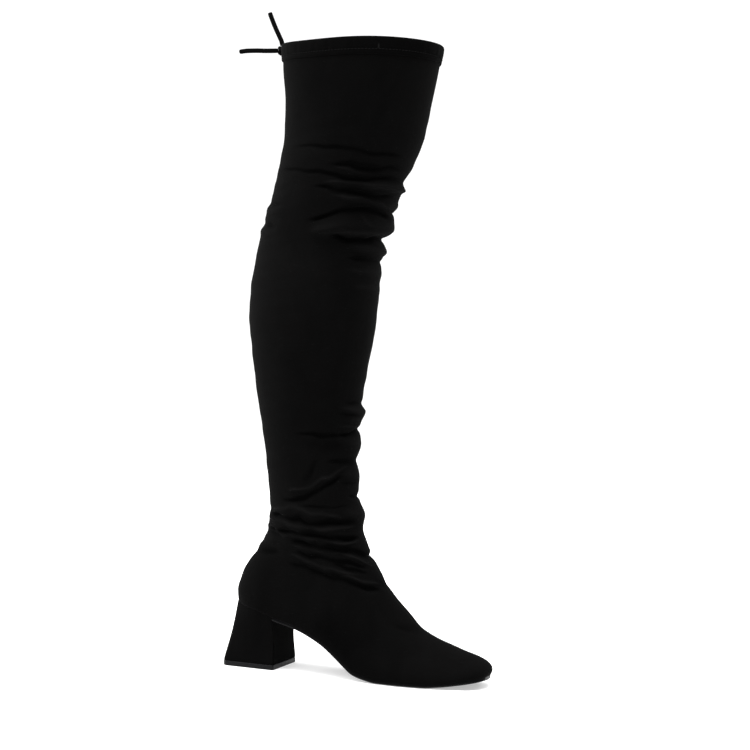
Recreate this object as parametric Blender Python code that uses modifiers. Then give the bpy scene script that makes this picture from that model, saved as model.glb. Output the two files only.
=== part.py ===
"""Thigh high boot for the right foot: stretch suede upper, flared block heel, drawstring collar.

Metres, +Z up, +X to the toe, +Y to the inner side of the foot. The origin is the centre of
the heel tip's tread, on the floor.
"""

from collections import namedtuple

import bmesh
import bpy
import numpy as np

# The last: what the foot part of the boot is drawn from
FOOT_LENGTH = 0.238
BALL_WIDTH = 0.077
SEAT_OVERHANG = 0.0197
HEEL_RISE = 0.0562
TOE_SPRING = 0.0070
ANKLE_RISE = 0.1053

# The leg
BOOT_HEIGHT = 0.555
CALF_DEPTH = 0.116
CALF_WIDTH = 0.108

# Walls, soles and the clearance between pieces that meet
UPPER_WALL = 0.0018
SOLE_THICKNESS = 0.0030
SOLE_EDGE = 0.0026
SOLE_CROWN = 0.0100
INSOLE_THICKNESS = 0.0025
GAP = 0.0003

# Where the outsole's toe ends, as a station
SOLE_END = 0.9985

# The heel block and its tread piece
HEEL_TIP_LENGTH = 0.0514
HEEL_TIP_WIDTH = 0.0484
HEEL_TIP_THICKNESS = 0.0044
HEEL_CORNER_RADIUS = 0.0060
BREAST_SHARE = 0.179
HEEL_WAIST = 0.10

# The drawstring casing round the collar, and its tie
CASING_HEIGHT = 0.0150
CASING_INSIDE_HEIGHT = 0.0120
CASING_LAYER = 0.0010
CASING_FULLNESS = 0.0003
CORD_DIAMETER = 0.0042
KNOT_RADIUS = 0.0042
KNOT_DROP = 0.0010
KNOT_FORM = (1.0, 1.25, 1.05)

# Depth that a fold share of 1 stands proud of the smooth leg
FOLD_DEPTH = 0.0050

# How finely the surfaces are cut
AROUND = 44
FOLD_FOOT = 1.4
ENDS_CLOSER = 0.35
LEG_RINGS_CLOSEST = 0.0042
LEG_RINGS_WIDEST = 0.021
HEEL_AROUND = 44
CORD_POINTS = 16
GIRTH_SAMPLES = 241
RIDGE_SAMPLES = 300
RIDGE_CLIMB_SAMPLES = 40
SEAT_SAMPLES = 121
CORNER_POINTS = 9
SECTIONS_CLOSEST = 0.0004
SHARP_EDGE_ANGLE = 0.6

# Bottom of the last: station from heel to toe, share of the heel's rise, share of the toe spring
Bottom = namedtuple("Bottom", "station heel toe")
BOTTOM = [
    Bottom(0.000, 1.000, 0.00),
    Bottom(0.030, 0.963, 0.00),
    Bottom(0.060, 0.930, 0.00),
    Bottom(0.100, 0.895, 0.00),
    Bottom(0.140, 0.840, 0.00),
    Bottom(0.185, 0.771, 0.00),
    Bottom(0.277, 0.673, 0.00),
    Bottom(0.350, 0.554, 0.00),
    Bottom(0.394, 0.463, 0.00),
    Bottom(0.437, 0.342, 0.00),
    Bottom(0.481, 0.208, 0.00),
    Bottom(0.525, 0.083, 0.00),
    Bottom(0.568, 0.033, 0.00),
    Bottom(0.625, 0.000, 0.00),
    Bottom(0.790, 0.000, 0.00),
    Bottom(0.860, 0.000, 0.19),
    Bottom(0.910, 0.000, 0.44),
    Bottom(0.955, 0.000, 0.71),
    Bottom(1.000, 0.000, 1.00),
]

# Plan of the last's edge: outer side, inner side and ridge, as shares of the ball width
Plan = namedtuple("Plan", "station outer inner ridge")
PLAN = [
    Plan(0.00, 0.345, 0.345, 0.000),
    Plan(0.10, 0.341, 0.341, 0.000),
    Plan(0.20, 0.312, 0.305, 0.000),
    Plan(0.30, 0.326, 0.290, 0.000),
    Plan(0.40, 0.366, 0.300, 0.010),
    Plan(0.50, 0.415, 0.370, 0.025),
    Plan(0.60, 0.450, 0.448, 0.055),
    Plan(0.68, 0.458, 0.488, 0.085),
    Plan(0.76, 0.436, 0.490, 0.095),
    Plan(0.84, 0.378, 0.440, 0.090),
    Plan(0.92, 0.295, 0.365, 0.075),
    Plan(1.00, 0.205, 0.270, 0.035),
]
SEAT_ROUNDING = 0.125
TOE_ROUNDING = 0.075
TOE_SQUARENESS = 2.9

# Girths of the foot: the back and front point of each, as stations along the foot and
# rises above the last's bottom in shares of ANKLE_RISE, and how far the wall swells out
Girth = namedtuple("Girth", "back back_rise front front_rise swell")
GIRTHS = [
    Girth(0.000, 0.000, 1.000, 0.000, 0.000),
    Girth(0.006, 0.060, 1.000, 0.033, 0.018),
    Girth(0.010, 0.106, 0.996, 0.071, 0.027),
    Girth(0.012, 0.144, 0.986, 0.110, 0.024),
    Girth(0.014, 0.184, 0.971, 0.142, 0.015),
    Girth(0.017, 0.227, 0.943, 0.179, 0.009),
    Girth(0.022, 0.276, 0.898, 0.222, 0.004),
    Girth(0.033, 0.332, 0.841, 0.281, 0.000),
    Girth(0.048, 0.394, 0.781, 0.334, 0.000),
    Girth(0.063, 0.457, 0.720, 0.412, 0.000),
    Girth(0.077, 0.517, 0.668, 0.536, 0.000),
    Girth(0.102, 0.583, 0.614, 0.669, 0.000),
    Girth(0.114, 0.669, 0.570, 0.804, 0.000),
    Girth(0.118, 0.752, 0.531, 0.924, 0.000),
    Girth(0.121, 0.843, 0.505, 1.009, 0.000),
    Girth(0.121, 0.933, 0.486, 1.079, 0.000),
]
FOOT_ROUNDNESS = 1.8
LEG_FORM_STARTS = 8
LEVEL_FORM_ENDS = 11
TOE_FORM_STARTS = 1
TOE_FORM_ENDS = 5

# The leg: height above the ankle in shares of the shaft, centre in shares of the foot's
# length, depth and width in shares of the calf's
Leg = namedtuple("Leg", "height centre depth width")
LEG = [
    Leg(0.030, 0.283, 0.720, 0.615),
    Leg(0.075, 0.275, 0.725, 0.655),
    Leg(0.130, 0.270, 0.765, 0.707),
    Leg(0.205, 0.263, 0.831, 0.793),
    Leg(0.275, 0.262, 0.897, 0.872),
    Leg(0.330, 0.264, 0.953, 0.941),
    Leg(0.385, 0.265, 0.995, 0.994),
    Leg(0.440, 0.269, 1.000, 1.000),
    Leg(0.500, 0.278, 0.983, 0.985),
    Leg(0.560, 0.294, 0.971, 0.974),
    Leg(0.620, 0.320, 0.979, 0.981),
    Leg(0.680, 0.355, 0.991, 0.980),
    Leg(0.740, 0.386, 1.042, 1.010),
    Leg(0.800, 0.412, 1.087, 1.040),
    Leg(0.870, 0.423, 1.132, 1.072),
    Leg(0.940, 0.428, 1.200, 1.124),
    Leg(1.000, 0.433, 1.243, 1.151),
]

# Folds of the slack shaft: height at the shin in shares of the boot, how far the fold
# drops to the calf, its half height, its reach round the leg from the shin (1 is the back
# seam) and its depth, proud or, below zero, sunk, in shares of FOLD_DEPTH
Fold = namedtuple("Fold", "height drop half_height reach depth")
FOLDS = [
    Fold(0.773, -0.020, 0.009, 0.65, 0.35),
    Fold(0.737, -0.020, 0.009, 0.65, -0.30),
    Fold(0.713, -0.010, 0.014, 0.62, 0.95),
    Fold(0.692, 0.000, 0.008, 0.60, -0.75),
    Fold(0.674, 0.000, 0.009, 0.50, 0.70),
    Fold(0.419, 0.000, 0.009, 0.45, 0.65),
    Fold(0.391, 0.004, 0.008, 0.60, -0.45),
    Fold(0.369, 0.000, 0.013, 0.45, 0.55),
    Fold(0.341, 0.000, 0.009, 0.60, -0.30),
    Fold(0.317, 0.010, 0.013, 0.50, 0.30),
    Fold(0.255, -0.010, 0.014, 0.70, 0.75),
    Fold(0.226, -0.012, 0.008, 0.85, -0.40),
    Fold(0.199, -0.014, 0.008, 0.75, -0.35),
]

# The knotted cord's two ends: points back, inwards and up from where each leaves the knot,
# in shares of its visible length
Point = namedtuple("Point", "back inward up")
BACK_END_LENGTH = 0.0370
BACK_END = [
    Point(0.00, 0.00, 0.000),
    Point(0.28, -0.02, 0.002),
    Point(0.56, -0.04, 0.012),
    Point(0.80, -0.05, 0.013),
    Point(1.00, -0.05, -0.004),
]
UPPER_END_LENGTH = 0.0330
UPPER_END = [
    Point(0.000, 0.00, 0.00),
    Point(0.010, 0.00, 0.08),
    Point(0.090, 0.01, 0.24),
    Point(0.205, 0.02, 0.45),
    Point(0.315, 0.03, 0.67),
    Point(0.410, 0.02, 0.90),
]

SUEDE = (0.006, 0.006, 0.006, 1.0)
RUBBER = (0.030, 0.030, 0.033, 1.0)
SOLE_BLACK = (0.012, 0.012, 0.013, 1.0)
LINING = (0.020, 0.019, 0.018, 1.0)


def through(table, column, at):
    """Smooth curve through a table's column that never overshoots its rows.

    The first column of the table is the abscissa. Slopes are the weighted harmonic means of
    the neighbouring chords, and zero where the chords change sign.
    """
    x = np.array([row[0] for row in table])
    y = np.array([getattr(row, column) for row in table])
    return along(x, y, at)


def along(x, y, at):
    """The same curve for plain arrays."""
    step = np.diff(x)
    chord = np.diff(y) / step
    before, after = 2 * step[1:] + step[:-1], step[1:] + 2 * step[:-1]
    same = chord[:-1] * chord[1:] > 0
    left, right = np.where(same, chord[:-1], 1.0), np.where(same, chord[1:], 1.0)
    inner = np.where(same, (before + after) / (before / left + after / right), 0.0)
    slope = np.concatenate([[chord[0]], inner, [chord[-1]]])
    at = np.clip(at, x[0], x[-1])
    i = np.clip(np.searchsorted(x, at, side="right") - 1, 0, len(step) - 1)
    t = (at - x[i]) / step[i]
    h = step[i]
    return (
        y[i] * (1 + 2 * t) * (1 - t) ** 2
        + slope[i] * h * t * (1 - t) ** 2
        + y[i + 1] * t**2 * (3 - 2 * t)
        + slope[i + 1] * h * t**2 * (t - 1)
    )


def station_of(x):
    return (np.asarray(x) + SEAT_OVERHANG) / FOOT_LENGTH


def place_of(station):
    return np.asarray(station) * FOOT_LENGTH - SEAT_OVERHANG


def bottom_height(x):
    """Height of the last's bottom, which is the top of the sole and heel."""
    s = station_of(x)
    heel = through(BOTTOM, "heel", s) * HEEL_RISE
    toe = through(BOTTOM, "toe", s) * TOE_SPRING
    return SOLE_THICKNESS + GAP + heel + toe


def quarter_round(share, power=2.0):
    """0 at the end of a form, rising as a superellipse to 1 at share 1."""
    rest = 1 - np.clip(share, 0, 1)
    return (1 - rest**power) ** (1 / power)


def plan_half_width(station):
    """Half the width of the last's edge, rounded off at the seat and square at the toe."""
    wide = (through(PLAN, "outer", station) + through(PLAN, "inner", station)) / 2
    seat = quarter_round(station / SEAT_ROUNDING)
    toe = quarter_round((1 - station) / TOE_ROUNDING, TOE_SQUARENESS)
    return wide * seat * toe * BALL_WIDTH


def plan_centre(station):
    return (through(PLAN, "inner", station) - through(PLAN, "outer", station)) / 2 * BALL_WIDTH


ANKLE_HEIGHT = float(bottom_height(place_of(0.0))) + ANKLE_RISE
SHAFT_HEIGHT = BOOT_HEIGHT - ANKLE_HEIGHT


def ring_rows():
    """Each girth as back x, back z, front x, front z, half width, swell, in metres."""
    rows = []
    for g in GIRTHS:
        bx, fx = place_of(g.back), place_of(g.front)
        bz = bottom_height(bx) + g.back_rise * ANKLE_RISE
        fz = bottom_height(fx) + g.front_rise * ANKLE_RISE
        rows.append((bx, bz, fx, fz, LEG[0].width * CALF_WIDTH / 2, g.swell * ANKLE_RISE))
    for leg in LEG:
        x, half = place_of(leg.centre), leg.depth * CALF_DEPTH / 2
        z = ANKLE_HEIGHT + leg.height * SHAFT_HEIGHT
        rows.append((x - half, z, x + half, z, leg.width * CALF_WIDTH / 2, 0.0))
    return np.array(rows, float)


ROWS = ring_rows()
ROW_NUMBERS = np.arange(len(ROWS), dtype=float)


def smoothstep(t):
    t = np.clip(t, 0, 1)
    return t * t * (3 - 2 * t)


def ridge_height(x):
    """Height of the instep's ridge over x; behind the ankle it climbs straight up the leg."""
    fine = np.linspace(len(GIRTHS) - 1, 0, RIDGE_SAMPLES)
    fx, fz = along(ROW_NUMBERS, ROWS[:, 2], fine), along(ROW_NUMBERS, ROWS[:, 3], fine)
    low = RIDGE_CLIMB_SAMPLES
    climb = (fz[0] - fz[low]) / (fx[low] - fx[0])
    behind = fz[0] + (fx[0] - x) * climb
    return np.where(x < fx[0], behind, np.interp(x, fx, fz))


def half_ring(v, side, count):
    """Points of one side of girth v from the back point to the front point.

    Side is -1 for the outer side and +1 for the inner. The girth lies between its back and
    front point in the side view, following the last's bottom near the sole. Its width is
    the foot's dome, h up from the sole to the ridge, changing into the leg's ellipse.
    """
    bx, bz, fx, fz, leg_half, swell = (along(ROW_NUMBERS, ROWS[:, k], v) for k in range(6))
    t = (1 - np.cos(np.linspace(0, np.pi, GIRTH_SAMPLES))) / 2
    x = bx + t * (fx - bx)
    chord = bz + t * (fz - bz)
    level = 1 - smoothstep(v / LEVEL_FORM_ENDS)
    bottom = bottom_height(x)
    bottom_chord = bottom_height(bx) + t * (bottom_height(fx) - bottom_height(bx))
    z = chord + level * (bottom - bottom_chord)
    station = station_of(x)
    h = np.clip((z - bottom) / np.maximum(ridge_height(x) - bottom, 1e-6), 0, 1)
    dome = (1 - h**FOOT_ROUNDNESS) ** (1 / FOOT_ROUNDNESS)
    inset = (x - bx) / (SEAT_ROUNDING * FOOT_LENGTH)
    toe = quarter_round((fx - x) / (TOE_ROUNDING * FOOT_LENGTH), TOE_SQUARENESS)
    near_toe = 1 - smoothstep((v - TOE_FORM_STARTS) / (TOE_FORM_ENDS - TOE_FORM_STARTS))
    wide = (through(PLAN, "outer", station) + through(PLAN, "inner", station)) / 2
    foot_half = wide * BALL_WIDTH * dome * quarter_round(inset)
    foot_half = foot_half * (near_toe * toe + (1 - near_toe))
    foot_centre = (1 - h) * plan_centre(station) + h * through(PLAN, "ridge", station) * BALL_WIDTH
    leg_form = smoothstep((v - LEG_FORM_STARTS) / (len(GIRTHS) - 1 - LEG_FORM_STARTS))
    ellipse = leg_half * np.sqrt(np.clip(1 - (2 * t - 1) ** 2, 0, 1))
    foot_half[-1] = 0
    half = (1 - leg_form) * foot_half + leg_form * ellipse
    y = (1 - leg_form) * foot_centre + side * half
    points = np.stack([x, y, z], axis=1)
    points[:, :2] += swell * outward(points, side)
    return placed(points, girth_shares(count))


def outward(points, side):
    """Level direction away from the ring's inside at each point of a half ring."""
    run = np.gradient(points[:, :2], axis=0)
    run /= np.maximum(np.linalg.norm(run, axis=1, keepdims=True), 1e-9)
    out = np.stack([-side * run[:, 1], side * run[:, 0]], axis=1)
    out[0], out[-1] = (-1, 0), (1, 0)
    return out


def girth_shares(count):
    """Where a half ring's points lie along it: closer together at the back and front."""
    s = np.linspace(0, 1, count)
    return s - ENDS_CLOSER * np.sin(2 * np.pi * s) / (2 * np.pi)


def placed(points, shares):
    """Points at the given shares of a line's length."""
    reach = np.concatenate([[0], np.cumsum(np.linalg.norm(np.diff(points, axis=0), axis=1))])
    at = np.asarray(shares) * reach[-1]
    return np.stack([np.interp(at, reach, points[:, k]) for k in range(3)], axis=1)


def evenly(points, count):
    return placed(points, np.linspace(0, 1, count))


def whole_ring(v):
    """Closed ring: from the back along the outer side to the front, back along the inner."""
    outer = half_ring(v, -1, AROUND // 2 + 1)
    inner = half_ring(v, 1, AROUND // 2 + 1)
    return np.concatenate([outer, inner[-2:0:-1]])


def fold_shift(rings):
    """How far each point moves outwards for the shaft's folds."""
    half = 1 - girth_shares(rings.shape[1] // 2 + 1)
    turn = np.concatenate([half, half[-2:0:-1]])
    height = rings[:, :, 2] / BOOT_HEIGHT
    shift = np.zeros(rings.shape[:2])
    for f in FOLDS:
        reach = np.clip(1 - (turn / f.reach) ** 2, 0, 1) ** 1.5
        away = (height - f.height - f.drop * turn) / f.half_height
        shift += f.depth * FOLD_DEPTH * reach * np.exp(-(away**2))
    return shift


def surface_normals(rings):
    """Unit normals of a grid of rings, pointing outwards."""
    along_ring = np.roll(rings, -1, axis=1) - np.roll(rings, 1, axis=1)
    up = np.gradient(rings, axis=0)
    normal = np.cross(along_ring, up)
    return normal / np.maximum(np.linalg.norm(normal, axis=2, keepdims=True), 1e-12)


def leg_heights(top):
    """Heights of the leg's rings: on each fold, at its feet, and evenly where it is smooth."""
    heights = [fold.height * BOOT_HEIGHT for fold in FOLDS]
    for fold in FOLDS:
        for foot in (-FOLD_FOOT, FOLD_FOOT):
            z = (fold.height + foot * fold.half_height) * BOOT_HEIGHT
            if min(abs(z - other) for other in heights) > LEG_RINGS_CLOSEST:
                heights.append(z)
    heights = sorted(z for z in heights if z > ANKLE_HEIGHT + LEG_RINGS_CLOSEST) + [top]
    filled = []
    below = ANKLE_HEIGHT
    for z in heights:
        steps = int(np.ceil((z - below) / LEG_RINGS_WIDEST))
        filled += [below + (z - below) * k / steps for k in range(1, steps + 1)]
        below = z
    return filled


def ring_numbers(top):
    """One ring on each girth of the foot, and the leg's rings up to a height."""
    heights = np.concatenate([[ROWS[len(GIRTHS) - 1, 1:4:2].mean()], ROWS[len(GIRTHS):, 1]])
    leg = np.interp(leg_heights(top), heights, ROW_NUMBERS[len(GIRTHS) - 1:])
    return np.concatenate([ROW_NUMBERS[:len(GIRTHS)], leg[leg > len(GIRTHS) - 0.5]])


def outer_surface(numbers):
    """Grid of rings with the folds raised on it."""
    rings = np.stack([whole_ring(v) for v in numbers])
    return rings + surface_normals(rings) * fold_shift(rings)[:, :, None]


def ring_at_height(z):
    """The level ring of the leg at a height."""
    heights = ROWS[len(GIRTHS):, 1]
    numbers = ROW_NUMBERS[len(GIRTHS):]
    return whole_ring(float(np.interp(z, heights, numbers)))


def new_object(name, mesh, colour, roughness, metallic=0.0):
    """Links a named object with its own plain material."""
    obj = bpy.data.objects.new(name, mesh)
    BOOT.objects.link(obj)
    material = bpy.data.materials.new(name)
    material.use_nodes = True
    shader = material.node_tree.nodes["Principled BSDF"]
    shader.inputs["Base Color"].default_value = colour
    shader.inputs["Roughness"].default_value = roughness
    shader.inputs["Metallic"].default_value = metallic
    obj.data.materials.append(material)
    return obj


def facing_out(mesh):
    """Turns a closed mesh's faces outwards and shades its round sides smooth."""
    work = bmesh.new()
    work.from_mesh(mesh)
    bmesh.ops.recalc_face_normals(work, faces=work.faces)
    work.to_mesh(mesh)
    work.free()
    mesh.shade_smooth()
    mesh.set_sharp_from_angle(angle=SHARP_EDGE_ANGLE)
    return mesh


def grid_mesh(name, rings, close_ends=False, close_loop=False):
    """Mesh of a grid of rings: quads between neighbours, and a face over each open end."""
    count, around = rings.shape[:2]
    faces = []
    rows = count if close_loop else count - 1
    for i in range(rows):
        for j in range(around):
            a, b = i * around + j, i * around + (j + 1) % around
            c, d = ((i + 1) % count) * around + (j + 1) % around, ((i + 1) % count) * around + j
            faces.append((a, b, c, d))
    if close_ends:
        faces.append(tuple(range(around))[::-1])
        faces.append(tuple((count - 1) * around + j for j in range(around)))
    mesh = bpy.data.meshes.new(name)
    mesh.from_pydata(rings.reshape(-1, 3).tolist(), [], faces)
    return mesh


def make_upper():
    """Foot and shaft in one: an open shell thickened inwards by its wall."""
    flare = (ROWS[-1, 2] - ROWS[-2, 2]) / (ROWS[-1, 1] - ROWS[-2, 1])
    top = BOOT_HEIGHT - CASING_LAYER - GAP - UPPER_WALL * flare
    rings = outer_surface(ring_numbers(top))
    mesh = facing_out(grid_mesh("upper", rings))
    obj = new_object("upper", mesh, SUEDE, 0.95)
    wall = obj.modifiers.new("wall", "SOLIDIFY")
    wall.thickness = UPPER_WALL
    wall.offset = -1
    wall.use_even_offset = True
    return obj


def make_casing():
    """Drawstring casing: a band folded over the collar's edge, with a slot for the wall."""
    low, low_inside = BOOT_HEIGHT - CASING_HEIGHT, BOOT_HEIGHT - CASING_INSIDE_HEIGHT
    under_top = BOOT_HEIGHT - CASING_LAYER
    outer, inner = GAP, -(UPPER_WALL + GAP)
    full = CASING_LAYER + CASING_FULLNESS
    middle = (low + BOOT_HEIGHT) / 2
    profile = [
        (outer, low),
        (outer + CASING_LAYER, low),
        (outer + full, middle),
        (outer + CASING_LAYER, under_top),
        (outer, BOOT_HEIGHT),
        (inner, BOOT_HEIGHT),
        (inner - CASING_LAYER, under_top),
        (inner - CASING_LAYER, low_inside),
        (inner, low_inside),
        (inner, under_top),
        (outer, under_top),
    ]
    loops = []
    for offset, z in profile:
        ring = ring_at_height(z)
        ring[:, 2] = z
        run = np.roll(ring, -1, axis=0) - np.roll(ring, 1, axis=0)
        out = np.stack([run[:, 1], -run[:, 0], np.zeros(len(run))], axis=1)
        out /= np.linalg.norm(out, axis=1, keepdims=True)
        away = np.sign(((ring - ring.mean(axis=0)) * out).sum())
        loops.append(ring + out * away * offset)
    mesh = facing_out(grid_mesh("collar_casing", np.stack(loops), close_loop=True))
    return new_object("collar_casing", mesh, SUEDE, 0.95)


def sole_sections(first, last, inset, rise, thickness, lip, crown):
    """Sections of a sole between two stations, each a row across the foot.

    Its edge runs through the corners of the upper's lowest ring, moved in by the inset, so
    that the two keep their gap. Rise is the top's height over the last's bottom. Below the
    lip at the edge the crown slopes down to the full thickness.
    """
    sides = []
    for side in (-1, 1):
        edge = half_ring(0.0, side, AROUND // 2 + 1)
        run = np.gradient(edge[:, :2], axis=0)
        run /= np.linalg.norm(run, axis=1, keepdims=True)
        edge[:, 0] += side * run[:, 1] * inset
        edge[:, 1] -= side * run[:, 0] * inset
        sides.append(edge)
    start, end = place_of(first), place_of(last)
    xs = np.unique(np.round(np.concatenate([sides[0][:, 0], sides[1][:, 0]]), 4))
    xs = xs[(xs > start + 2 * SECTIONS_CLOSEST) & (xs < end - SECTIONS_CLOSEST)]
    xs = np.concatenate([[start], xs[np.diff(xs, prepend=-1) > SECTIONS_CLOSEST], [end]])
    sections = []
    for x in xs:
        (y0, z0), (y1, z1) = ([np.interp(x, e[:, 0], e[:, k]) for k in (1, 2)] for e in sides)
        draw = min(crown, (y1 - y0) / 3)
        sections.append([
            (x, y0, z0 + rise),
            (x, y1, z1 + rise),
            (x, y1, z1 + rise - lip),
            (x, y1 - draw, z1 + rise - thickness),
            (x, y0 + draw, z0 + rise - thickness),
            (x, y0, z0 + rise - lip),
        ])
    return np.array(sections)


def make_outsole():
    """Thin sole from the heel's breast to the toe, flat under the ball."""
    first = BREAST_SHARE + GAP / FOOT_LENGTH
    sections = sole_sections(first, SOLE_END, 0.0, -GAP, SOLE_THICKNESS, SOLE_EDGE, SOLE_CROWN)
    mesh = facing_out(grid_mesh("outsole", sections, close_ends=True))
    return new_object("outsole", mesh, SOLE_BLACK, 0.35)


def make_insole():
    """Sock covered board inside the upper, from seat to toe."""
    inset = UPPER_WALL + 2 * GAP
    ends = (inset + GAP) / FOOT_LENGTH
    thick = INSOLE_THICKNESS
    sections = sole_sections(ends, 1 - ends, inset, thick, thick, thick / 2, thick / 2)
    mesh = facing_out(grid_mesh("insole", sections, close_ends=True))
    return new_object("insole", mesh, LINING, 0.9)


def rounded_block(length, width, radius, z, count=HEEL_AROUND):
    """Level outline of the heel: square at the breast, its back corners rounded."""
    half_length, half_width = length / 2, width / 2
    turn = np.linspace(0, np.pi / 2, CORNER_POINTS)
    corner = np.stack([np.sin(turn), np.cos(turn)], axis=1) * radius
    outer = np.stack([-half_length + radius - corner[:, 1], -half_width + radius - corner[:, 0]], 1)
    line = np.concatenate([[(-half_length, 0)], outer, [(half_length, -half_width)]])
    half = evenly(np.column_stack([line, np.full(len(line), z)]), count // 2 + 1)
    breast = np.linspace(-half_width, half_width, 5)[1:-1]
    front = np.stack([np.full(3, half_length), breast, np.full(3, z)], axis=1)
    inner = half[::-1] * (1, -1, 1)
    return np.concatenate([half, front, inner[:-1]])


def seat_outline(count=HEEL_AROUND):
    """Outline of the heel's top, under the last's seat from its back to the breast."""
    s = np.linspace(0, 1, SEAT_SAMPLES) ** 2 * BREAST_SHARE
    x = place_of(s)
    y = -plan_half_width(s)
    z = bottom_height(x) - GAP
    half = evenly(np.stack([x, y, z], axis=1), count // 2 + 1)
    breast = np.linspace(half[-1, 1], -half[-1, 1], 5)[1:-1]
    front = np.stack([np.full(3, half[-1, 0]), breast, np.full(3, half[-1, 2])], axis=1)
    inner = half[::-1] * (1, -1, 1)
    return np.concatenate([half, front, inner[:-1]])


def make_heel():
    """Block heel, drawn in under the seat and flared to its tip, breast upright."""
    top = seat_outline()
    low = HEEL_TIP_THICKNESS + GAP
    foot = rounded_block(HEEL_TIP_LENGTH, HEEL_TIP_WIDTH, HEEL_CORNER_RADIUS, low)
    shares = np.array([0.0, 0.12, 0.30, 0.50, 0.75, 1.0])
    levels = []
    for t in shares:
        level = top * (1 - t) + foot * t
        level[:, 1] *= 1 - HEEL_WAIST * np.sin(np.pi * t) ** 2
        levels.append(level)
    mesh = facing_out(grid_mesh("heel", np.stack(levels), close_ends=True))
    return new_object("heel", mesh, SUEDE, 0.95)


def make_heel_tip():
    """Rubber tread piece of the heel, flat on the floor."""
    outline = [
        rounded_block(HEEL_TIP_LENGTH, HEEL_TIP_WIDTH, HEEL_CORNER_RADIUS, z)
        for z in (HEEL_TIP_THICKNESS, 0.0)
    ]
    mesh = facing_out(grid_mesh("heel_tip", np.stack(outline), close_ends=True))
    return new_object("heel_tip", mesh, RUBBER, 0.3)


def knot_centre():
    """The knot sits against the casing at the back of the collar."""
    z = BOOT_HEIGHT - KNOT_DROP
    back = ring_at_height(z)[0]
    face = GAP + CASING_LAYER + CASING_FULLNESS * KNOT_DROP / (CASING_HEIGHT / 2)
    return np.array([back[0] - face - GAP - KNOT_RADIUS * KNOT_FORM[0], back[1], z])


def make_knot():
    """Pulled knot of the drawstring."""
    work = bmesh.new()
    bmesh.ops.create_uvsphere(work, u_segments=14, v_segments=8, radius=KNOT_RADIUS)
    bmesh.ops.scale(work, vec=KNOT_FORM, verts=work.verts)
    bmesh.ops.translate(work, vec=knot_centre(), verts=work.verts)
    mesh = bpy.data.meshes.new("drawstring_knot")
    work.to_mesh(mesh)
    work.free()
    mesh.shade_smooth()
    return new_object("drawstring_knot", mesh, SUEDE, 0.9)


def make_tie_end(name, points, length):
    """One free end of the drawstring, from the knot's face outwards."""
    route = np.array([(-p.back, p.inward, p.up) for p in points])
    way = route[1] / np.linalg.norm(route[1])
    start = way * (KNOT_RADIUS / np.linalg.norm(way / KNOT_FORM) + GAP)
    bend = np.linspace(0, 1, len(points))
    fine = np.linspace(0, 1, CORD_POINTS)
    line = np.stack([along(bend, route[:, k], fine) for k in range(3)], axis=1)
    line = knot_centre() + start + line * length
    curve = bpy.data.curves.new(name, "CURVE")
    curve.dimensions = "3D"
    curve.bevel_depth = CORD_DIAMETER / 2
    curve.bevel_resolution = 2
    curve.use_fill_caps = True
    spline = curve.splines.new("POLY")
    spline.points.add(len(line) - 1)
    for point, place in zip(spline.points, line):
        point.co = (*place, 1.0)
    return new_object(name, curve, SUEDE, 0.9)


for old in list(bpy.data.objects):
    bpy.data.objects.remove(old)
BOOT = bpy.data.collections.new("thigh_high_boot")
bpy.context.scene.collection.children.link(BOOT)
make_upper()
make_casing()
make_outsole()
make_insole()
make_heel()
make_heel_tip()
make_knot()
make_tie_end("drawstring_end_back", BACK_END, BACK_END_LENGTH)
make_tie_end("drawstring_end_up", UPPER_END, UPPER_END_LENGTH)
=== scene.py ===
"""Thigh high boot for the right foot, dressed: black stretch suede, block heel, tied collar.

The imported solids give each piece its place. Every visible piece is worked out here again from
the boot's own sizes, on a fine grid, and stands for its solid.
"""

from __future__ import annotations

import logging
import math
from dataclasses import dataclass
from enum import Enum
from typing import NamedTuple, Sequence

import bpy
import numpy as np
from bpy.types import ID, Material, Mesh, Node, NodeSocket, NodeTree, Object
from mathutils import Matrix


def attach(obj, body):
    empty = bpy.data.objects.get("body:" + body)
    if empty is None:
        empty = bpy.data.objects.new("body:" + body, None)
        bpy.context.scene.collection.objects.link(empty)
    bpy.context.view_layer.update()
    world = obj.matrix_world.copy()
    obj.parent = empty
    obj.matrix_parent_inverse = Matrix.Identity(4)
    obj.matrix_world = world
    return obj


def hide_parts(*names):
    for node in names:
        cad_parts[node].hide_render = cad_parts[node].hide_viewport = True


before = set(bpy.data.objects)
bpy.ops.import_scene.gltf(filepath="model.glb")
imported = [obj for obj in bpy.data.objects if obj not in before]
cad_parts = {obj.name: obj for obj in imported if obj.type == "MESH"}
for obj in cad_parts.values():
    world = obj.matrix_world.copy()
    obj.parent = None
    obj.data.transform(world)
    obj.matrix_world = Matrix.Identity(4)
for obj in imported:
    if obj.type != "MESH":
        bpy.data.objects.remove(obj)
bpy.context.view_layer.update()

LOG = logging.getLogger("boot")
BACK_COLUMNS, FRONT_COLUMNS = (0, 1), (2, 3)
BODY = "root"
Array = np.ndarray
Colour = tuple[float, float, float]
Route = tuple[tuple[float, float, float], ...]


class Side(Enum):
    """Which side of the foot a half girth runs along; the value is the sign of +Y."""

    OUTER = -1
    INNER = 1


class Anchor(Enum):
    """The line down the boot from which a crease's places round the leg are counted."""

    SHIN = "shin"
    CALF = "calf"


class Row(NamedTuple):
    """Last's bottom: station, shares of the heel's rise and of the toe spring."""

    station: float
    heel: float
    toe: float = 0.0


class Plan(NamedTuple):
    """Last's edge: station, and outer side, inner side and ridge in ball widths."""

    station: float
    outer: float
    inner: float
    ridge: float = 0.0


class Girth(NamedTuple):
    """Girth of the foot: back and front stations, rises in ankle rises, and its swell."""

    back: float
    back_rise: float
    front: float
    front_rise: float
    swell: float = 0.0


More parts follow.
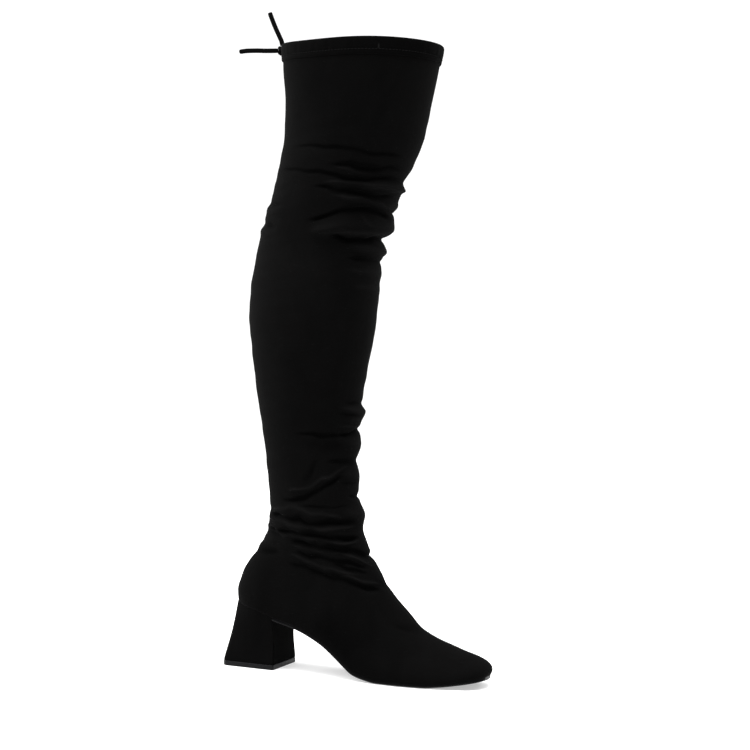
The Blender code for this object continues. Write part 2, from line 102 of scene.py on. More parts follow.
class Leg(NamedTuple):
    """Leg girth: height up the shaft, centre in foot lengths, depth and width in calves."""

    height: float
    centre: float
    depth: float
    width: float


class Place(NamedTuple):
    """Point of a crease: share of half the way round from its anchor, and height."""

    turn: float
    height: float


class Patch(NamedTuple):
    """Brushed patch: its middle and half size in turn and height, and its tone, light above 0."""

    turn: float
    height: float
    half_turn: float
    half_height: float
    tone: float


@dataclass(frozen=True)
class Crease:
    """A soft trough or ridge that runs across the leg.

    Attributes:
        anchor: the line from which the places' turns are counted.
        places: the points it runs through, in order of turn.
        half_height: height from its line to where it has fallen to a third, in metres.
        depth: how far it stands proud, or below zero how deep it is, in metres.
        skew: share by which it is steeper above its line and gentler below it.
    """

    anchor: Anchor
    places: tuple[Place, ...]
    half_height: float
    depth: float
    skew: float


def crease(
    half_mm: float,
    depth_mm: float,
    skew: float,
    *places: tuple[float, float],
    anchor: Anchor = Anchor.SHIN,
) -> Crease:
    """Crease from millimetres and hundredths of half the way round, outer side below 0.

    Args:
        half_mm: half height in millimetres.
        depth_mm: depth in millimetres, proud above zero.
        skew: share by which it is steeper above than below.
        places: pairs of turn in hundredths and height in millimetres.
        anchor: the line from which turns are counted.

    Returns:
        The crease in metres.
    """
    points = tuple(Place(turn / 100, height / 1000) for turn, height in places)
    return Crease(anchor, points, half_mm / 1000, depth_mm / 1000, skew)


# Knee: half height, depth and skew, then turns in hundredths and heights, all chosen.
KNEE_CREASES = (
    crease(2.0, -0.8, 0.3, (-66, 463), (-50, 462), (-38, 460), (-24, 457), (-12, 457)),
    crease(2.8, -1.8, 0.3, (-44, 447), (-36, 447), (-30, 445), (-22, 445), (-14, 447)),
    crease(4.0, -0.7, 0.0, (-16, 447), (0, 444), (20, 445)),
    crease(1.3, 0.8, 0.0, (-43, 445), (-36, 443), (-30, 440), (-26, 439)),
    crease(1.7, -1.0, 0.2, (-72, 444), (-62, 442), (-52, 441), (-42, 439)),
    crease(2.3, -2.2, 0.2, (-46, 439), (-40, 437), (-34, 435), (-26, 435), (-16, 437)),
    crease(3.6, -2.2, -0.3, (-18, 437), (-2, 437), (10, 437), (34, 440)),
    crease(2.2, 2.5, 0.0, (-42, 432), (-24, 430.5), (-10, 430.5), (2, 430), (30, 431)),
    crease(2.4, -2.3, 0.3, (-47, 428), (-42, 427.5), (-36, 425.5), (-26, 423.5), (-15, 422), (-6, 423.5)),
    crease(2.0, 2.0, 0.0, (-36, 420), (-26, 418), (-20, 417), (-14, 416), (-6, 413), (-1, 411)),
    crease(2.7, 1.6, 0.0, (-6, 416), (6, 416), (32, 418)),
    crease(
        2.6, -3.1, 0.4, (-44, 400), (-40, 402), (-35, 405), (-30, 409), (-25, 411), (-18, 411),
        (-12, 409), (-2, 405),
    ),
    crease(1.7, -2.6, 0.0, (2, 411), (10, 410), (24, 409)),
    crease(7.2, 5.0, -0.25, (-42, 390), (-25, 394), (-4, 395), (22, 396), (40, 391)),
    crease(1.4, 0.6, 0.0, (-22, 406), (-19, 402), (-16, 398), (-13, 396)),
    crease(1.8, 0.9, 0.0, (-32, 389), (-20, 389), (-10, 390), (-4, 391)),
    crease(2.5, -4.2, 0.15, (-31, 387), (-22, 384), (-14, 384), (-6, 387), (18, 387), (46, 388)),
    crease(3.8, 3.2, -0.1, (-22, 377), (-10, 376), (2, 375), (32, 376)),
    crease(2.6, -1.5, 0.3, (-20, 368), (-6, 367), (16, 367)),
    crease(4.2, 1.3, 0.0, (-20, 356), (0, 355), (30, 356)),
    crease(3.6, 0.8, 0.0, (-16, 342), (0, 341), (26, 342)),
    crease(5.0, 0.7, 0.0, (-30, 430), (0, 432), (28, 431), anchor=Anchor.CALF),
    crease(3.2, -1.1, 0.0, (-32, 412), (-12, 417), (0, 418), (28, 416), anchor=Anchor.CALF),
    crease(2.4, 0.4, 0.0, (-30, 405), (-12, 410), (0, 411), (26, 410), anchor=Anchor.CALF),
    crease(3.0, -1.2, 0.2, (-32, 393), (-12, 399), (0, 400), (30, 398), anchor=Anchor.CALF),
    crease(3.0, 1.1, 0.0, (-30, 386), (-12, 391), (0, 392), (28, 391), anchor=Anchor.CALF),
)

# Slack shin over the ankle.
SHIN_CREASES = (
    crease(2.4, -0.8, 0.0, (-12, 241), (0, 241), (22, 241)),
    crease(4.2, 3.7, 0.25, (-16, 235), (0, 233), (28, 234)),
    crease(4.6, 1.2, 0.0, (-12, 226), (0, 226), (28, 227)),
    crease(1.4, -0.9, 0.2, (-16, 232), (-10, 231), (-2, 230)),
    crease(1.3, 0.8, 0.0, (-17, 220), (-10, 220), (-4, 220)),
    crease(2.0, -1.0, 0.3, (-46, 213), (-36, 213), (-24, 212), (-10, 212)),
    crease(2.3, -2.5, 0.1, (-16, 213), (-8, 214), (1, 217.5), (30, 218), (52, 224)),
    crease(7.6, -0.9, 0.0, (-40, 204), (-28, 203), (-16, 204)),
    crease(8.6, 3.0, 0.0, (-12, 204), (6, 204), (30, 204)),
    crease(3.2, -1.2, 0.0, (-24, 189), (4, 190), (32, 191)),
    crease(7.0, 1.6, 0.0, (-14, 176), (0, 177), (26, 177)),
    crease(
        2.4, -1.7, 0.35, (-63, 153), (-56, 154), (-50, 156), (-44, 158), (-38, 161), (-33, 165),
        (-28, 169), (-18, 175),
    ),
    crease(
        1.9, 1.3, 0.0, (-56, 162), (-48, 164), (-42, 165), (-36, 169), (-31, 173), (-26, 175),
        (-20, 179), (-12, 184),
    ),
    crease(5.0, -0.7, 0.0, (-46, 172), (-40, 178), (-34, 190)),
    crease(1.3, -0.5, 0.2, (-15, 170), (-6, 170), (0, 170)),
)

# Ankle and instep.
ANKLE_CREASES = (
    crease(2.4, -2.0, -0.2, (-10, 159), (0, 158), (26, 159), (44, 163)),
    crease(7.4, 3.9, 0.0, (-16, 142), (0, 141), (24, 141)),
    crease(1.4, -0.5, 0.2, (-48, 150), (-34, 149), (-14, 150)),
    crease(2.6, 1.3, 0.0, (-80, 142), (-66, 145), (-57, 147), (-50, 146), (-42, 143), (-22, 141)),
    crease(
        3.0, -2.5, 0.3, (-80, 140), (-70, 139), (-60, 138), (-52, 138), (-46, 135), (-41, 134),
        (-32, 136), (-10, 137),
    ),
    crease(
        2.2, 1.3, 0.0, (-88, 136), (-74, 135), (-62, 132), (-52, 130), (-42, 130), (-32, 129),
        (-22, 130), (-10, 132),
    ),
    crease(
        3.2, -3.0, 0.35, (-95, 129), (-86, 128), (-78, 125), (-66, 126), (-50, 125), (-34, 124),
        (-18, 122), (-8, 123),
    ),
    crease(
        1.5, 1.6, 0.0, (-90, 124), (-82, 124), (-70, 122), (-50, 121), (-36, 120), (-26, 118),
        (-18, 117), (-7, 120),
    ),
    crease(
        3.2, -2.7, 0.35, (-62, 118), (-54, 117), (-46, 116), (-38, 114), (-20, 113), (-13, 111),
        (-4, 107.5), (24, 107),
    ),
    crease(1.4, 0.6, 0.0, (-63, 114), (-56, 112), (-48, 110), (-40, 110)),
    crease(1.6, 1.2, 0.0, (-31, 109), (-26, 109), (-20, 107), (-15, 105), (-11, 102), (-6, 98)),
    crease(2.4, -1.6, 0.3, (-60, 108), (-52, 106), (-42, 105), (-34, 103), (-24, 102), (-12, 98)),
    crease(1.8, 1.3, 0.0, (-65, 105), (-58, 102), (-46, 97), (-42, 95), (-34, 94), (-22, 91)),
    crease(2.2, -1.1, 0.3, (-32, 99), (-26, 97), (-21, 96), (-14, 93)),
    crease(3.0, -1.8, 0.3, (-66, 97), (-58, 96), (-52, 93), (-46, 91), (-32, 87), (-18, 81), (-10, 79)),
    crease(1.6, 1.1, 0.0, (-31, 90), (-24, 88), (-18, 85), (-13, 84), (-6, 83)),
    crease(4.0, -1.0, 0.0, (-8, 83), (4, 83), (22, 84)),
    crease(4.4, -0.45, 0.0, (-16, 47), (0, 46), (16, 47)),
    crease(3.0, -0.9, 0.0, (-30, 141), (-12, 144), (0, 144), (30, 142), anchor=Anchor.CALF),
    crease(2.6, 2.0, 0.0, (-16, 127.5), (0, 127.5), (26, 127.5), anchor=Anchor.CALF),
    crease(4.6, 1.2, 0.0, (-20, 116), (0, 116), (20, 116), anchor=Anchor.CALF),
    crease(4.4, -1.3, 0.0, (-24, 106), (0, 106), (24, 106), anchor=Anchor.CALF),
)

# Inner side, which the photograph hides: fainter ends of the outer side's creases.
INNER_CREASES = (
    crease(2.8, -2.0, 0.3, (22, 426), (34, 423), (46, 421), (58, 424)),
    crease(3.4, -1.6, 0.3, (28, 402), (42, 397), (56, 399)),
    crease(2.6, 1.2, 0.0, (30, 432), (44, 429), (60, 431)),
    crease(2.4, -1.1, 0.3, (40, 176), (52, 168), (66, 165)),
    crease(3.0, -2.3, 0.3, (16, 135), (34, 133), (52, 136), (78, 139)),
    crease(2.2, 1.3, 0.0, (18, 129), (36, 128), (54, 131), (80, 134)),
    crease(3.2, -2.7, 0.35, (14, 122), (34, 121), (56, 124), (90, 127)),
    crease(1.6, 1.3, 0.0, (16, 115), (34, 116), (56, 119), (84, 122)),
    crease(3.2, -2.3, 0.35, (22, 106), (36, 110), (54, 114), (68, 117)),
    crease(2.4, -1.5, 0.3, (14, 95), (28, 98), (44, 103), (60, 107)),
    crease(1.8, 1.2, 0.0, (16, 89), (30, 92), (46, 97), (60, 101)),
    crease(2.8, -1.5, 0.3, (14, 80), (30, 85), (46, 91), (60, 95)),
)


def monotone(x: Array, y: Array, at: Array) -> Array:
    """Smooth curve through points that never overshoots them.

    A cubic runs between neighbours; its slopes are the weighted harmonic means of the chords
    on both sides, and zero where those change sign.

    Args:
        x: rising abscissas.
        y: values there.
        at: where to read the curve, of any shape.

    Returns:
        The curve's values, shaped like at.
    """
    step = np.diff(x)
    chord = np.diff(y) / step
    before, after = 2 * step[1:] + step[:-1], step[1:] + 2 * step[:-1]
    same = chord[:-1] * chord[1:] > 0
    left, right = np.where(same, chord[:-1], 1.0), np.where(same, chord[1:], 1.0)
    inner = np.where(same, (before + after) / (before / left + after / right), 0.0)
    slope = np.concatenate([chord[:1], inner, chord[-1:]])
    at = np.clip(at, x[0], x[-1])
    i = np.clip(np.searchsorted(x, at, side="right") - 1, 0, len(step) - 1)
    t, h = (at - x[i]) / step[i], step[i]
    start = y[i] * (1 + 2 * t) * (1 - t) ** 2 + slope[i] * h * t * (1 - t) ** 2
    return start + y[i + 1] * t**2 * (3 - 2 * t) + slope[i + 1] * h * t**2 * (t - 1)


def smoothstep(t: Array) -> Array:
    """0 below 0, 1 above 1, and three t squared less two t cubed between."""
    t = np.clip(t, 0.0, 1.0)
    return t * t * (3 - 2 * t)


def fade_in(at: Array, start: float, length: float) -> Array:
    """0 up to a start, rising softly to 1 over a length."""
    return smoothstep((at - start) / length)


def bell(t: Array) -> Array:
    """1 at 0, falling to a third at 1 to both sides."""
    return np.exp(-(t**2))


def quarter_round(share: Array, power: float = 2.0) -> Array:
    """Superellipse that rises from 0 at a form's end to 1 at share 1."""
    rest = 1 - np.clip(share, 0.0, 1.0)
    return (1 - rest**power) ** (1 / power)


def along_line(at: Array, known: Array, line: Array) -> Array:
    """Points of a line at places of any shape, straight between the known ones."""
    return np.stack([np.interp(at, known, line[:, k]) for k in range(line.shape[1])], axis=-1)


def resample(lines: Array, shares: Array) -> Array:
    """Points at given shares of each line's length.

    Each line's running length is scaled to 1 and lines are laid end to end on one axis, two
    units apart, so that a single linear interpolation reads them all.

    Args:
        lines: points shaped (lines, points, 3).
        shares: shares of the length, from 0 to 1.

    Returns:
        Points shaped (lines, shares, 3).
    """
    step = np.linalg.norm(np.diff(lines, axis=1), axis=2)
    reach = np.concatenate([np.zeros((len(lines), 1)), np.cumsum(step, axis=1)], axis=1)
    reach /= reach[:, -1:]
    base = 2.0 * np.arange(len(lines))[:, None]
    return along_line(shares[None, :] + base, (reach + base).ravel(), lines.reshape(-1, 3))


def grid_normals(grid: Array) -> Array:
    """Outward unit normals of closed rings: the cross product of the steps round and up."""
    around = np.roll(grid, -1, axis=1) - np.roll(grid, 1, axis=1)
    return unit(np.cross(around, np.gradient(grid, axis=0)), 1e-12)


def grid_quads(rows: int, columns: int, close_rows: bool, close_columns: bool) -> Array:
    """Corner numbers of the quads of a grid.

    Args:
        rows: number of rows.
        columns: points in a row.
        close_rows: whether the last row joins the first.
        close_columns: whether each row is a ring.

    Returns:
        Integers shaped (quads, 4).
    """
    i = np.arange(rows if close_rows else rows - 1)[:, None]
    j = np.arange(columns if close_columns else columns - 1)[None, :]
    up, on = (i + 1) % rows, (j + 1) % columns
    corners = [i * columns + j, i * columns + on, up * columns + on, up * columns + j]
    return np.stack(corners, axis=-1).reshape(-1, 4)


def fill_mesh(name: str, points: Array, faces: Sequence[Array]) -> Mesh:
    """Mesh from whole arrays of points and of faces.

    Args:
        name: the mesh's name.
        points: corners, shaped (points, 3).
        faces: integer arrays, each of faces with one number of corners.

    Returns:
        The mesh, shaded smooth.
    """
    mesh = bpy.data.meshes.new(name)
    mesh.vertices.add(len(points))
    mesh.vertices.foreach_set("co", points.astype(np.float32).ravel())
    corners = np.concatenate([f.ravel() for f in faces])
    sizes = np.concatenate([np.full(len(f), f.shape[1]) for f in faces])
    mesh.loops.add(len(corners))
    mesh.loops.foreach_set("vertex_index", corners.astype(np.int32))
    mesh.polygons.add(len(sizes))
    starts = np.concatenate([[0], np.cumsum(sizes)[:-1]])
    mesh.polygons.foreach_set("loop_start", starts.astype(np.int32))
    mesh.update(calc_edges=True)
    mesh.validate()
    mesh.shade_smooth()
    return mesh


def add_object(name: str, data: ID) -> Object:
    """Object of that name at the origin, in the scene's collection."""
    piece = bpy.data.objects.new(name, data)
    bpy.context.scene.collection.objects.link(piece)
    return piece


def ring_piece(name: str, rings: Array, close_rows: bool = False) -> Object:
    """Closed piece of rings, either joined last to first or with a fan over both ends.

    Args:
        name: the piece's name.
        rings: points shaped (rings, points, 3).
        close_rows: whether the last ring joins the first, as round a tube of rings.

    Returns:
        The piece, with its faces outwards.
    """
    count, around = rings.shape[:2]
    points = rings.reshape(-1, 3)
    faces = [grid_quads(count, around, close_rows, True)]
    if not close_rows:
        ends = np.stack([rings[0].mean(axis=0), rings[-1].mean(axis=0)])
        j = np.arange(around)
        on = (j + 1) % around
        last = (count - 1) * around
        first_fan = np.stack([on, j, np.full(around, len(points))], axis=1)
        last_fan = np.stack([last + j, last + on, np.full(around, len(points) + 1)], axis=1)
        points = np.concatenate([points, ends])
        faces.append(np.concatenate([first_fan, last_fan]))
    mesh = fill_mesh(name, points, faces)
    face_outwards(mesh)
    return add_object(name, mesh)


def face_outwards(mesh: Mesh) -> None:
    """Turns every face over where the closed mesh holds a negative volume."""
    mesh.calc_loop_triangles()
    corners = np.empty(len(mesh.loop_triangles) * 3, np.int32)
    mesh.loop_triangles.foreach_get("vertices", corners)
    points = np.empty(len(mesh.vertices) * 3, np.float32)
    mesh.vertices.foreach_get("co", points)
    tri = points.reshape(-1, 3)[corners.reshape(-1, 3)].astype(float)
    volume = np.einsum("ij,ij->i", tri[:, 0], np.cross(tri[:, 1], tri[:, 2])).sum()
    if volume < 0:
        mesh.flip_normals()


def set_tone(piece: Object, tone: Array) -> None:
    """Gives each point its tone, lighter above 0 and darker below: painted shade and painted highlight, and
    the nap's own brushed patches.
    """
    values = tone.astype(np.float32).ravel()
    piece.data.attributes.new("nap_tone_and_painted_light", "FLOAT", "POINT").data.foreach_set("value", values)


def full_turn(count: int) -> Array:
    """Angles of equal steps round a circle, without the last that meets the first."""
    return np.linspace(0, 2 * np.pi, count, endpoint=False)


def ring_turns(half: int) -> Array:
    """Turns of a closed girth's points: -1 at the back, outer side, 0 in front, inner side."""
    return np.concatenate([np.linspace(-1, 0, half + 1), np.linspace(0, 1, half + 1)[1:-1]])


def unit(vectors: Array, least: float = 0.0) -> Array:
    """Vectors scaled to length 1, by their last axis; no shorter length than the least counts."""
    return vectors / np.maximum(np.linalg.norm(vectors, axis=-1, keepdims=True), least)


def sweep(path: Array, section: Array) -> Array:
    """Rings of a section carried along a path without turning about it.

    At each point the section stands square to the path; its first axis is the one before it
    less its share along the path.

    Args:
        path: centre line, shaped (points, 3).
        section: flat outline, shaped (corners, 2), or one outline for each point.

    Returns:
        Rings shaped (points, corners, 3).
    """
    way = unit(np.gradient(path, axis=0))
    start = np.cross(way[0], (0.0, 0.0, 1.0) if abs(way[0, 2]) < 0.9 else (0.0, 1.0, 0.0))
    first = np.empty_like(path)
    held = start / np.linalg.norm(start)
    for k, along in enumerate(way):
        held = held - along * (held @ along)
        held = held / np.linalg.norm(held)
        first[k] = held
    second = np.cross(way, first)
    outline = np.broadcast_to(section, (len(path), *section.shape[-2:]))
    return path[:, None] + first[:, None] * outline[..., :1] + second[:, None] * outline[..., 1:]


@dataclass(frozen=True)
class BootForm:
    """The boot's outer form, from the same sizes as its solids, in metres."""

    foot_length: float = 0.238
    ball_width: float = 0.077
    seat_overhang: float = 0.0197
    heel_rise: float = 0.0562
    toe_spring: float = 0.0070
    ankle_rise: float = 0.1053
    boot_height: float = 0.555
    calf_depth: float = 0.116
    calf_width: float = 0.108
    sole_thickness: float = 0.0030
    gap: float = 0.0003
    wall: float = 0.0018
    seat_rounding: float = 0.125
    toe_rounding: float = 0.075
    toe_squareness: float = 2.9
    foot_roundness: float = 1.8
    toe_form_starts: float = 1.0
    toe_form_ends: float = 5.0
    leg_form_starts: float = 8.0
    level_form_ends: float = 11.0
    collar_rise: float = 0.0018
    collar_rise_width: float = 0.14
    collar_sag: float = 0.0022
    collar_sag_turn: float = -0.62
    collar_sag_width: float = 0.2
    collar_fade: tuple[float, float] = (0.500, 0.05)
    girth_samples: int = 241
    ridge_samples: int = 300
    climb_samples: int = 40
    way_samples: int = 4000
    bottom: tuple[Row, ...] = (
        Row(0.000, 1.000),
        Row(0.030, 0.963),
        Row(0.060, 0.930),
        Row(0.100, 0.895),
        Row(0.140, 0.840),
        Row(0.185, 0.771),
        Row(0.277, 0.673),
        Row(0.350, 0.554),
        Row(0.394, 0.463),
        Row(0.437, 0.342),
        Row(0.481, 0.208),
        Row(0.525, 0.083),
        Row(0.568, 0.033),
        Row(0.625, 0.000),
        Row(0.790, 0.000),
        Row(0.860, 0.000, 0.19),
        Row(0.910, 0.000, 0.44),
        Row(0.955, 0.000, 0.71),
        Row(1.000, 0.000, 1.00),
    )
    plan: tuple[Plan, ...] = (
        Plan(0.00, 0.345, 0.345),
        Plan(0.10, 0.341, 0.341),
        Plan(0.20, 0.312, 0.305),
        Plan(0.30, 0.326, 0.290),
        Plan(0.40, 0.366, 0.300, 0.010),
        Plan(0.50, 0.415, 0.370, 0.025),
        Plan(0.60, 0.450, 0.448, 0.055),
        Plan(0.68, 0.458, 0.488, 0.085),
        Plan(0.76, 0.436, 0.490, 0.095),
        Plan(0.84, 0.378, 0.440, 0.090),
        Plan(0.92, 0.295, 0.365, 0.075),
        Plan(1.00, 0.205, 0.270, 0.035),
    )
    girths: tuple[Girth, ...] = (
        Girth(0.000, 0.000, 1.000, 0.000),
        Girth(0.006, 0.060, 1.000, 0.033, 0.018),
        Girth(0.010, 0.106, 0.996, 0.071, 0.027),
        Girth(0.012, 0.144, 0.986, 0.110, 0.024),
        Girth(0.014, 0.184, 0.971, 0.142, 0.015),
        Girth(0.017, 0.227, 0.943, 0.179, 0.009),
        Girth(0.022, 0.276, 0.898, 0.222, 0.004),
        Girth(0.033, 0.332, 0.841, 0.281),
        Girth(0.048, 0.394, 0.781, 0.334),
        Girth(0.063, 0.457, 0.720, 0.412),
        Girth(0.077, 0.517, 0.668, 0.536),
        Girth(0.102, 0.583, 0.614, 0.669),
        Girth(0.114, 0.669, 0.570, 0.804),
        Girth(0.118, 0.752, 0.531, 0.924),
        Girth(0.121, 0.843, 0.505, 1.009),
        Girth(0.121, 0.933, 0.486, 1.079),
    )
    leg: tuple[Leg, ...] = (
        Leg(0.030, 0.283, 0.720, 0.615),
        Leg(0.075, 0.275, 0.725, 0.655),
        Leg(0.130, 0.270, 0.765, 0.707),
        Leg(0.205, 0.263, 0.831, 0.793),
        Leg(0.275, 0.262, 0.897, 0.872),
        Leg(0.330, 0.264, 0.953, 0.941),
        Leg(0.385, 0.265, 0.995, 0.994),
        Leg(0.440, 0.269, 1.000, 1.000),
        Leg(0.500, 0.278, 0.983, 0.985),
        Leg(0.560, 0.294, 0.971, 0.974),
        Leg(0.620, 0.320, 0.979, 0.981),
        Leg(0.680, 0.355, 0.991, 0.980),
        Leg(0.740, 0.386, 1.042, 1.010),
        Leg(0.800, 0.412, 1.087, 1.040),
        Leg(0.870, 0.423, 1.132, 1.072),
        Leg(0.940, 0.428, 1.200, 1.124),
        Leg(1.000, 0.433, 1.243, 1.151),
    )

    def station(self, x: Array) -> Array:
        """Share of the foot's length at x."""
        return (np.asarray(x) + self.seat_overhang) / self.foot_length

    def place(self, station: Array) -> Array:
        """Length x of a station."""
        return np.asarray(station) * self.foot_length - self.seat_overhang

    def read(self, table: Sequence[NamedTuple], column: str, station: Array) -> Array:
        """Smooth curve through one column of a table by its stations."""
        x = np.array([row[0] for row in table])
        return monotone(x, np.array([getattr(row, column) for row in table]), station)

    def bottom_height(self, x: Array) -> Array:
        """Height of the last's bottom: the sole, plus shares of heel rise and toe spring."""
        at = self.station(x)
        heel = self.read(self.bottom, "heel", at) * self.heel_rise
        toe = self.read(self.bottom, "toe", at) * self.toe_spring
        return self.sole_thickness + self.gap + heel + toe

    def plan_half(self, station: Array) -> Array:
        """Half the last's width before its ends are rounded."""
        both = self.read(self.plan, "outer", station) + self.read(self.plan, "inner", station)
        return both / 2 * self.ball_width

    def plan_centre(self, station: Array) -> Array:
        """Middle of the last's width, towards the inner side above zero."""
        skew = self.read(self.plan, "inner", station) - self.read(self.plan, "outer", station)
        return skew / 2 * self.ball_width

    @property
    def ankle_height(self) -> float:
        """Height where the foot's girths end."""
        return float(self.bottom_height(self.place(0.0))) + self.ankle_rise

    def girth_rows(self) -> Array:
        """Each girth as back x, back z, front x, front z, half width and swell."""
        foot = np.array(self.girths)
        back, front = self.place(foot[:, 0]), self.place(foot[:, 2])
        back_z = self.bottom_height(back) + foot[:, 1] * self.ankle_rise
        front_z = self.bottom_height(front) + foot[:, 3] * self.ankle_rise
        leg = np.array(self.leg)
        half = np.full(len(foot), leg[0, 3] * self.calf_width / 2)
        low = np.stack([back, back_z, front, front_z, half, foot[:, 4] * self.ankle_rise], 1)
        x, depth = self.place(leg[:, 1]), leg[:, 2] * self.calf_depth / 2
        z = self.ankle_height + leg[:, 0] * (self.boot_height - self.ankle_height)
        wide = leg[:, 3] * self.calf_width / 2
        high = np.stack([x - depth, z, x + depth, z, wide, np.zeros(len(leg))], 1)
        return np.concatenate([low, high])

    def girth_columns(self, numbers: Array, *columns: int) -> list[Array]:
        """Smooth curves through columns of the girths' rows, read at girth numbers."""
        rows = self.girth_rows()
        known = np.arange(len(rows), dtype=float)
        return [monotone(known, rows[:, k], numbers) for k in columns]

    def ridge_height(self, x: Array) -> Array:
        """Height of the instep's ridge over x; behind the ankle it climbs straight up."""
        fine = np.linspace(len(self.girths) - 1, 0, self.ridge_samples)
        front_x, front_z = self.girth_columns(fine, *FRONT_COLUMNS)
        k = self.climb_samples
        climb = (front_z[0] - front_z[k]) / (front_x[k] - front_x[0])
        behind = front_z[0] + (front_x[0] - x) * climb
        return np.where(x < front_x[0], behind, np.interp(x, front_x, front_z))

    def half_girths(self, numbers: Array, side: Side, shares: Array) -> Array:
        """One side of several girths, from the back point to the front point.

        In the side view a girth runs straight from its back to its front, bent near the sole
        to follow the last's bottom. Its half width is the foot's dome, a superellipse of the
        height between sole and ridge, changing into the leg's ellipse over the instep.

        Args:
            numbers: girth numbers, whole at the tables' rows.
            side: which side of the foot.
            shares: places along each half girth, from 0 to 1.

        Returns:
            Points shaped (numbers, shares, 3).
        """
        v = np.asarray(numbers, float)[:, None]
        bx, bz, fx, fz, leg_half, swell = self.girth_columns(v, *range(6))
        t = (1 - np.cos(np.linspace(0, np.pi, self.girth_samples)))[None, :] / 2
        x = bx + t * (fx - bx)
        bottom = self.bottom_height(x)
        low_back, low_front = self.bottom_height(bx), self.bottom_height(fx)
        level = 1 - smoothstep(v / self.level_form_ends)
        z = bz + t * (fz - bz) + level * (bottom - low_back - t * (low_front - low_back))
        at = self.station(x)
        h = np.clip((z - bottom) / np.maximum(self.ridge_height(x) - bottom, 1e-6), 0, 1)
        dome = (1 - h**self.foot_roundness) ** (1 / self.foot_roundness)
        seat = quarter_round((x - bx) / (self.seat_rounding * self.foot_length))
        toe = quarter_round((fx - x) / (self.toe_rounding * self.foot_length), self.toe_squareness)
        near_toe = 1 - fade_in(v, self.toe_form_starts, self.toe_form_ends - self.toe_form_starts)
        foot_half = self.plan_half(at) * dome * seat * (near_toe * toe + (1 - near_toe))
        foot_half[:, -1] = 0
        ridge = self.read(self.plan, "ridge", at) * self.ball_width
        centre = (1 - h) * self.plan_centre(at) + h * ridge
        span = len(self.girths) - 1 - self.leg_form_starts
        leg_form = fade_in(v, self.leg_form_starts, span)
        ellipse = leg_half * np.sqrt(np.clip(1 - (2 * t - 1) ** 2, 0, 1))
        half = (1 - leg_form) * foot_half + leg_form * ellipse
        y = (1 - leg_form) * centre + side.value * half
        points = np.stack([x, y, z], axis=2)
        run = unit(np.gradient(points[:, :, :2], axis=1), 1e-9)
        out = np.stack([-side.value * run[:, :, 1], side.value * run[:, :, 0]], axis=2)
        out[:, 0], out[:, -1] = (-1, 0), (1, 0)
        points[:, :, :2] += swell[:, :, None] * out
        return resample(points, shares)

    def girth_rings(self, numbers: Array, half_count: int) -> Array:
        """Closed girths: back, along the outer side, front, and back along the inner side."""
        shares = np.linspace(0, 1, half_count + 1)
        outer = self.half_girths(numbers, Side.OUTER, shares)
        inner = self.half_girths(numbers, Side.INNER, shares)
        return np.concatenate([outer, inner[:, -2:0:-1]], axis=1)

    def number_at(self, height: Array) -> Array:
        """Girth number of the leg's level girth at a height."""
        rows = self.girth_rows()[len(self.girths):, 1]
        return np.interp(height, rows, np.arange(len(self.girths), len(self.girths) + len(rows)))

    def collar_wave(self, rings: Array) -> Array:
        """Rings with the collar's soft edge raised at the back and sagging at the outer side.

        Two bell curves of the turn round the leg, faded in towards the top.

        Args:
            rings: closed rings shaped (rings, points, 3), from the back along the outer side.

        Returns:
            The rings with their heights changed.
        """
        turn = ring_turns(rings.shape[1] // 2)
        wave = self.collar_rise * bell((1 - abs(turn)) / self.collar_rise_width)
        wave -= self.collar_sag * bell((turn - self.collar_sag_turn) / self.collar_sag_width)
        waved = rings.copy()
        waved[:, :, 2] += wave * fade_in(rings[:, :, 2], *self.collar_fade)
        return waved

    def spaced_numbers(self, last: float, count: int, busy: Sequence[tuple[float, float]] = ()) -> Array:
        """Girth numbers at equal steps of the mean way up the back and the front.

        Args:
            last: the number to end at.
            count: how many numbers.
            busy: spans of height where the steps are half as long.

        Returns:
            The numbers, rising from 0.
        """
        fine = np.linspace(0.0, last, self.way_samples)
        pairs = (BACK_COLUMNS, FRONT_COLUMNS)
        lines = [np.stack(self.girth_columns(fine, *columns), 1) for columns in pairs]
        step = sum(np.linalg.norm(np.diff(line, axis=0), axis=1) for line in lines)
        height = (lines[0][1:, 1] + lines[1][1:, 1]) / 2
        for low, high in busy:
            step = step * (1 + ((height > low) & (height < high)))
        reach = np.concatenate([[0.0], np.cumsum(step)])
        return np.interp(np.linspace(0, reach[-1], count), reach, fine)

    def sole_edges(self, inset: float, count: int = 260) -> tuple[Array, Array]:
        """Outer and inner edge of the last's bottom, moved in by the inset.

        Args:
            inset: distance inwards, square to the edge in plan.
            count: points along each side.

        Returns:
            Two arrays shaped (count, 3), heel to toe.
        """
        edges = []
        for side in (Side.OUTER, Side.INNER):
            edge = self.half_girths(np.zeros(1), side, np.linspace(0, 1, count))[0]
            run = unit(np.gradient(edge[:, :2], axis=0))
            edge[:, 0] += side.value * run[:, 1] * inset
            edge[:, 1] -= side.value * run[:, 0] * inset
            edges.append(edge)
        return edges[0], edges[1]


def new_material(name: str) -> tuple[Material, NodeTree, Node]:
    """Material of that name, its node tree and its Principled shader."""
    material = bpy.data.materials.new(name)
    material.use_nodes = True
    tree = material.node_tree
    return material, tree, tree.nodes["Principled BSDF"]


def feed(node: Node, inputs: dict[str | int, object]) -> None:
    """Gives a node's sockets their values, or links them to the sockets that feed them."""
    for name, value in inputs.items():
        if isinstance(value, NodeSocket):
            node.id_data.links.new(value, node.inputs[name])
        else:
            node.inputs[name].default_value = value


